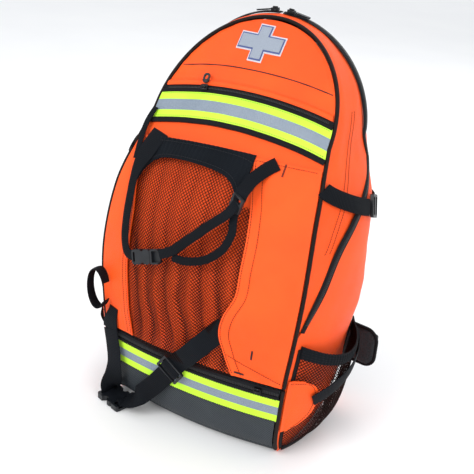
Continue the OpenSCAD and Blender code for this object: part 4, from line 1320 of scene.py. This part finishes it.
def make_sides():
    for side, left in SIDES:
        sag = lambda t, h: 0.9 * np.sin(t * 34) * np.sin(math.pi * np.clip(h, 0, 1))

        def place(a, b, d):
            t, h = a / POCKET_LONG, b / POCKET_TALL
            return both(left, on_pocket(t, h, sag(t, h) + d))

        net("pocket_net_" + side, place, lambda a, b: (a > 2) & (a < POCKET_LONG - 2)
            & (b < 0.93 * POCKET_TALL), ((0, POCKET_LONG), (1, POCKET_TALL)), "pack",
            ["bottle_pocket_" + side], 2.5,
            lambda a, b: mix(0.76, 0.45, ease(a, 100, 125)))
        h, t = lattice(np.linspace(0.9, 1.0, 9), np.linspace(0, 1, 130))
        roll = 0.7 * np.sin(math.pi * (h - 0.9) / 0.1)
        gather = 0.5 * np.sin(t * POCKET_LONG * 2 * math.pi / 5.5)
        outer = both(left, on_pocket(t, h, 1.7 + roll + gather))
        inner = both(left, on_pocket(t, h, -0.3 + gather))
        sheet("pocket_hem_" + side, outer, inner, "pack", "elastic", ["elastic"],
              ["pocket_hems"] if not left else ())
        t = np.linspace(0, 1, 60)
        foot = both(left, on_pocket(t, 0.015 + 0 * t, 0.3))
        ups = both(left, side_n(np.full_like(t, 8), mix(POCKET_FRONT, POCKET_BACK, t)))
        strap("pocket_foot_" + side, foot, ups, 7, 1.4, "pack", "piping", "binding")
        h = np.linspace(0.02, 0.97, 40)
        for end, t0 in (("front", 0.0), ("back", 1.0)):
            line = both(left, on_pocket(t0 + 0 * h, h, -1.0))
            v = mix(POCKET_FRONT, POCKET_BACK, t0)
            ups = both(left, side_n(mix(5, hem_z(t0), h), np.full_like(h, v)))
            strap("pocket_" + end + "_" + side, line, ups, 7, 1.3, "pack", "piping",
                  "binding")
        make_tab(side, left)
        p, n = side_route(POCKET_WEB, 8, left)
        strap("pocket_web_" + side, p, n, SIDE_WIDTH, 1.5, "pack",
              replaces=["side_webbing"] if not left else ())
        p, n = side_route(LOCK_TAB, 8, left)
        strap("lock_tab_" + side, p, n, SIDE_WIDTH, 1.5, "pack")
        r = bend(COMPRESSION, 10)
        p = both(left, side_at(r[:, 0], r[:, 1], r[:, 2] - 0.4))
        n = both(left, side_n(r[:, 0], r[:, 1]))
        strap("compression_" + side, p, n, 22.8, 2.1, "front_lid")
        rows = []
        for shift in (0.0, 8.0):
            q = np.linspace(305, 440, 80)
            v = np.interp(q, [300, 310, 374, 445], [0.1, 0.14, 0.29, 0.47])
            v = v * 0.78 + shift / depth_at(q)
            keep = v < zip_v(q) - 0.06
            rows.append((both(left, side_at(q, v, shell_soft(q, v, 28 if left else 21)))[keep],
                         both(left, side_n(q, v))[keep]))
        stitches("gusset_stitches_" + side, rows, "front_lid", "orange_fabric",
                 "thread_dark", 3.4, (2.5, 0.65, 0.6))


CORNER_TAB = [(50, 0.06), (62, 0.13), (80, 0.19), (108, 0.2), (124, 0.17), (132, 0.1)]


def on_tab(q, t, d):
    """Point on the pocket's corner patch: t runs back from the piping to its outer edge."""
    q, t, d = np.broadcast_arrays(*[np.asarray(a, float) for a in (q, t, d)])
    v = mix(0.016, curve(CORNER_TAB, q), t)
    along = np.clip((v - POCKET_FRONT) / (POCKET_BACK - POCKET_FRONT), 0, 1)
    share = np.clip((q - 5) / (hem_z(along) - 5), 0, 1)
    return side_at(q, v, d + pocket_d(along, share) * ease(v, 0.0, 0.06)), side_n(q, v)


def make_tab(side, left):
    """Orange patch sewn over the pocket's front corner."""
    q, t = lattice(np.linspace(48, 133, 30), np.linspace(0, 1, 20))
    roll = 0.5 * np.exp(-((1 - t) / 0.06) ** 2) + 0.4 * np.exp(-((q - 133) / 2) ** 2)
    sheet("corner_tab_" + side, both(left, on_tab(q, t, 3.0 + roll)[0]),
          both(left, on_tab(q, t, 1.7)[0]), "pack", "orange_fabric",
          ["orange", "orange_in"], ["corner_tabs"] if not left else ())
    rows = []
    for route_q, route_t in ((np.linspace(54, 128, 30), np.full(30, 0.9)),
                             (np.full(20, 129.0), np.linspace(0.1, 0.85, 20))):
        points, normals = on_tab(route_q, route_t, 2.9)
        rows.append((both(left, points), both(left, normals)))
    stitches("tab_stitches_" + side, rows, "pack", "orange_fabric", "thread_dark", 3.2,
             (2.3, 0.65, 0.7))


# ---------------------------------------------------------------- padded harness


def solid_outline(outline, y0, y1, place=None):
    """Closed prism from an outline of (x, z), from y0 to y1, in metres."""
    n = len(outline)
    points = [(x, y0, z) for x, z in outline] + [(x, y1, z) for x, z in outline]
    points = np.array(points, float)
    if place is not None:
        points = place(points)
    faces = [list(range(n)), list(range(2 * n - 1, n - 1, -1))]
    faces += [[k + n, (k + 1) % n + n, (k + 1) % n, k] for k in range(n)]
    return points * MM, faces


def rounded(w, h, r, cx=0.0, cz=0.0):
    """Outline of a rectangle with round corners."""
    out = []
    for sx, sz, a0 in ((1, 1, 0), (-1, 1, 90), (-1, -1, 180), (1, -1, 270)):
        for a in np.radians(np.linspace(a0, a0 + 90, 8)):
            out.append((cx + sx * (w / 2 - r) + r * math.cos(a),
                        cz + sz * (h / 2 - r) + r * math.sin(a)))
    return out


def swell(name, points, faces, body, material, replaces, voxel=0.005, cap=0.006,
          pressure=4.0, held=None, shape=None):
    """A stuffed piece: remeshed, blown up by cloth simulation, capped and smoothed."""
    mesh = bpy.data.meshes.new(name + "_start")
    mesh.from_pydata([tuple(p) for p in points], [], faces)
    piece = bpy.data.objects.new(name + "_start", mesh)
    bpy.context.scene.collection.objects.link(piece)
    face_outwards(piece)
    remesh = piece.modifiers.new("remesh", "REMESH")
    remesh.mode = "VOXEL"
    remesh.voxel_size = voxel
    smooth = piece.modifiers.new("smooth", "SMOOTH")
    smooth.factor, smooth.iterations = 0.5, 4
    piece = settled(piece, name + "_rough")
    rest = coordinates(piece.data)
    pin = piece.vertex_groups.new(name="pin")
    if held is not None:
        chosen = np.nonzero(held(rest / MM))[0]
        pin.add([int(i) for i in chosen], 1.0, "REPLACE")
    cloth = piece.modifiers.new("cloth", "CLOTH")
    cloth.settings.quality = 5
    cloth.settings.mass = 0.3
    cloth.settings.tension_stiffness = 12
    cloth.settings.compression_stiffness = 12
    cloth.settings.bending_stiffness = 0.6
    cloth.settings.use_pressure = True
    cloth.settings.uniform_pressure_force = pressure
    cloth.settings.effector_weights.gravity = 0
    cloth.settings.vertex_group_mass = "pin"
    cloth.point_cache.frame_start, cloth.point_cache.frame_end = 1, 20
    for step in range(1, 21):
        bpy.context.scene.frame_set(step)
    piece = settled(piece, name + "_blown")
    move = coordinates(piece.data) - rest
    size = np.linalg.norm(move, axis=1, keepdims=True)
    move *= np.minimum(1, cap / np.maximum(size, 1e-9))
    store(piece.data, rest + move)
    bpy.context.scene.frame_set(1)
    piece.modifiers.new("fine", "SUBSURF").levels = 1
    piece.modifiers["fine"].render_levels = 1
    piece = settled(piece, name)
    if shape is not None:
        store(piece.data, shape(coordinates(piece.data) / MM) * MM)
    piece.data.materials.clear()
    piece.data.materials.append(MATERIAL[material])
    piece.data.shade_smooth()
    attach(piece, body)
    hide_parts(*replaces)
    return piece


def coordinates(mesh):
    out = np.zeros(len(mesh.vertices) * 3)
    mesh.vertices.foreach_get("co", out)
    return out.reshape(-1, 3)


def store(mesh, points):
    mesh.vertices.foreach_set("co", np.asarray(points, np.float32).ravel())
    mesh.update()


def settled(piece, name):
    """A new object with the piece's modifiers applied; the old one goes."""
    shown = piece.evaluated_get(bpy.context.evaluated_depsgraph_get())
    mesh = bpy.data.meshes.new_from_object(shown)
    mesh.name = name
    out = bpy.data.objects.new(name, mesh)
    bpy.context.scene.collection.objects.link(out)
    old = piece.data
    bpy.data.objects.remove(piece)
    bpy.data.meshes.remove(old)
    return out


PAD_Y = 108.4                       # where the cushions touch the back panel


def flat_back(points, y):
    return points[:, 1] < y


def make_back_pads():
    def channels(p):
        x, z = p[:, 0], p[:, 2]
        up = ease(p[:, 1], PAD_Y + 4, PAD_Y + 9)
        groove = np.exp(-(x / 5.5) ** 2)
        for z0 in (205, 265, 325, 385, 440):
            groove = np.maximum(groove, np.exp(-((z - z0 + 0.16 * np.abs(x)) / 4.0) ** 2))
        out = p.copy()
        out[:, 1] -= up * 5.0 * groove
        out[:, 1] = np.clip(out[:, 1], PAD_Y, None)
        return out
    points, faces = solid_outline(rounded(214, 324, 26, 0, 318), PAD_Y + 0.3, PAD_Y + 10)
    swell("back_cushion", points, faces, "pack", "pad", ["back_pad"], 0.0055,
          0.006, 4.0, lambda p: flat_back(p, PAD_Y + 2), channels)

    def lumbar(p):
        out = p.copy()
        up = ease(p[:, 1], PAD_Y + 4, PAD_Y + 9)
        groove = np.exp(-((np.abs(p[:, 0]) - 40) / 4.0) ** 2)
        out[:, 1] = np.clip(out[:, 1] - up * 4.0 * groove, PAD_Y, None)
        return out
    points, faces = solid_outline(rounded(156, 72, 24, 0, 98), PAD_Y + 0.3, PAD_Y + 10)
    swell("lumbar_cushion", points, faces, "pack", "pad", ["lumbar_pad"], 0.005,
          0.006, 4.0, lambda p: flat_back(p, PAD_Y + 2), lumbar)
    for name, outline in (("back_cushion_edge", rounded(222, 332, 27, 0, 318)),
                          ("lumbar_cushion_edge", rounded(164, 80, 26, 0, 98))):
        ring = np.array([(x, PAD_Y + 1.8, z) for x, z in outline + outline[:1]])
        tube(name, ring, 1.9, "pack", "piping", "binding")


SHOULDER = [(46, 110, 492), (50, 128, 484), (55, 146, 462), (62, 154, 430), (70, 155, 380),
            (77, 150, 330), (83, 142, 285), (87, 136, 262)]
SHOULDER_WEB = [(89, 138, 236), (93, 131, 190), (96, 122, 135), (98, 112, 72),
                (98, 108.5, 36)]


def shoulder_frame():
    """Route of a shoulder strap, with the ways across it and out of its face."""
    route = bend(SHOULDER, 6)
    normal = unit(np.stack([0 * route[:, 0], np.ones(len(route)),
                            0.05 + 0.85 * ease(route[:, 2], 445, 478)], -1))
    along = unit(np.gradient(route, axis=0))
    across = unit(np.cross(along, normal))
    return route, across, unit(np.cross(across, along))


def make_shoulder_straps():
    route, across, up = shoulder_frame()
    shape = [(-0.94, 1.2), (-0.94, 8.2), (0, 9.0), (0.94, 8.2), (0.94, 1.2), (0, 0.6)]
    rings = np.stack([route + across * (s * 30.0) + up * h for s, h in shape], 1)
    faces = loft_faces(rings)
    for side, left in SIDES:
        points = both(left, rings.reshape(-1, 3))
        swell("shoulder_pad_" + side, points * MM, faces, "pack", "pad",
              ["shoulder_strap_" + side], 0.005, 0.002, 3.0,
              lambda p: (p[:, 1] < 113) & (p[:, 2] > 470))
        for end, s in (("in", -1), ("out", 1)):
            line = both(left, route + across * (s * 30.4) + up * 5.2)
            tube("shoulder_edge_" + end + "_" + side, line, 2.0, "pack", "piping", "binding")
        keep = slice(6, None)
        strap("shoulder_rib_" + side, both(left, (route + up * 11.2)[keep]),
              both(left, up[keep]), HARNESS_WIDTH, 1.4, "pack")
        rows = [(both(left, (route + up * 12.5 + across * s * 10.4)[keep]),
                 both(left, up[keep])) for s in (-1, 1)]
        stitches("shoulder_stitches_" + side, rows, "pack", "webbing", "thread_black", 3.6,
                 (2.6, 0.7, 0.6))
        p = both(left, bend(SHOULDER_WEB, 10))
        n = np.broadcast_to(both(left, np.array([0.1, 1, 0.1])), p.shape)
        strap("shoulder_web_" + side, p, n, HARNESS_WIDTH, 1.5, "pack",
              replaces=["shoulder_webbing"] if not left else ())


HIP_X, HIP_Z, HIP_LEAN, HIP_LONG = 112.0, 92.0, 8.0, 76.0


def at_hip(points, left):
    """From the wing's own x, y (outwards) and z to the row frame."""
    a = math.radians(-HIP_LEAN)
    x, y = points[:, 0] + 4, points[:, 1]
    out = np.stack([HIP_X + x * math.cos(a) - y * math.sin(a),
                    112 + x * math.sin(a) + y * math.cos(a), HIP_Z + points[:, 2]], -1)
    return both(left, out)


def make_hips():
    for side, left in SIDES:
        points, faces = solid_outline(rounded(HIP_LONG - 1, 61, 18, HIP_LONG / 2), 0.4, 10.4,
                                      lambda p: at_hip(p, left))
        swell("hip_pad_" + side, points, faces, "hip_" + side, "pad",
              ["hip_wing_" + side], 0.005, 0.003, 3.0, None)
        ring = rounded(HIP_LONG - 1.6, 60.4, 18, HIP_LONG / 2)
        ring = np.array([(x, 5.0, z) for x, z in ring + ring[:1]])
        tube("hip_edge_" + side, at_hip(ring, left), 2.6, "hip_" + side, "piping", "binding")
        line = np.array([(x, 11.3, 0) for x in np.linspace(5.2, HIP_LONG - 5.2, 12)])
        out = at_hip(np.array([[0.0, 1, 0], [0, 0, 0]]), left)
        strap("hip_web_" + side, at_hip(line, left),
              np.broadcast_to(out[0] - out[1], line.shape), 25.6, 2.0, "hip_" + side)


def make_handle():
    """Webbing legs and a wrapped grip."""
    for name, s in (("handle_leg_right", 1), ("handle_leg_left", -1)):
        line = np.array([(s * 30.0, 110.4, z) for z in np.linspace(540, 513, 8)])
        strap(name, line, backwards(line), 20, 2.2, "haul_handle",
              replaces=["haul_handle"] if s == 1 else ())
    x = np.linspace(-39, 39, 40)
    line = np.stack([x, 110.8 + 0 * x, 514 - 1.0 * np.cos(x / 39 * math.pi / 2)], -1)
    strap("handle_grip", line, backwards(line), 12, 3.0,
          "haul_handle", "webbing", "webbing")
    rows = [(line + [0, 3.6, dz], backwards(line))
            for dz in (-4.2, 4.2)]
    stitches("handle_stitches", rows, "haul_handle", "webbing", "thread_black", 3.2)
    patch = np.array([(x, 107.6, 541.0) for x in np.linspace(-42, 42, 10)])
    strap("handle_anchor", patch, backwards(patch), 13, 1.6, "pack")


def make_sternum():
    for side, left in SIDES:
        line = both(left, np.array([(x, 167.0, 400.0) for x in np.linspace(6, 74, 14)]))
        strap("sternum_web_" + side, line, backwards(line), 18, 1.4,
              "sternum_" + side, replaces=["sternum_webbing_" + side])


def make_divider():
    """Padded shelf between the base pocket and the main one."""
    outline = rounded(256, 181, 8, 0, -8)
    n = len(outline)
    points = np.array([(x, y, 112.4) for x, y in outline] + [(x, y, 115.6) for x, y in outline])
    faces = [list(range(n))[::-1], list(range(n, 2 * n))]
    faces += [[k, (k + 1) % n, (k + 1) % n + n, k + n] for k in range(n)]
    swell("divider_shelf", points * MM, faces, "pack", "lining", ["inner_divider"],
          0.006, 0.001, 1.0, None)
    ring = np.array([(x, y, 114.0) for x, y in rounded(259, 184, 9, 0, -8)])
    tube("divider_edge", np.concatenate([ring, ring[:1]]), 2.0, "pack", "piping", "binding")


# ---------------------------------------------------------------- CAD pieces that stay

KEPT = {
    "plastic": ["shoulder_locks", "lower_buckle_socket", "lower_slider",
                "upper_buckle_socket", "upper_lock", "compression_straps",
                "upper_buckle_tongue", "lower_buckle_tongue", "sternum_socket",
                "sternum_tongue", "hip_belt_right", "hip_belt_left"],
    "metal": ["upper_zip_slider", "base_zip_slider", "main_slider_right",
              "main_slider_left"],
    "rubber": ["upper_zip_pull"],
    "stiff": ["base_board", "frame_sheet"],
}


def dress_cad():
    """Materials and rounded edges for the moulded CAD pieces."""
    for material, names in KEPT.items():
        for name in names:
            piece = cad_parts[name]
            piece.data.materials.clear()
            piece.data.materials.append(MATERIAL[material])
            if "custom_normal" in piece.data.attributes:
                piece.data.attributes.remove(piece.data.attributes["custom_normal"])
            piece.data.shade_smooth()
            piece.modifiers.new("weld", "WELD").merge_threshold = 0.00002
            bevel = piece.modifiers.new("bevel", "BEVEL")
            bevel.width = 0.0003 if material == "metal" else 0.0006
            bevel.segments = 2
            bevel.limit_method = "ANGLE"
            bevel.angle_limit = math.radians(35)
            bevel.harden_normals = True


for make in (make_camera, make_studio, make_boot, make_shell, make_front_panel,
             make_back_panel, make_piping, make_tapes, make_zips, make_patch, make_mesh,
             make_hem, make_wings, make_front_straps, make_sides, make_back_pads,
             make_shoulder_straps, make_hips, make_handle, make_sternum, make_divider,
             dress_cad):
    make()
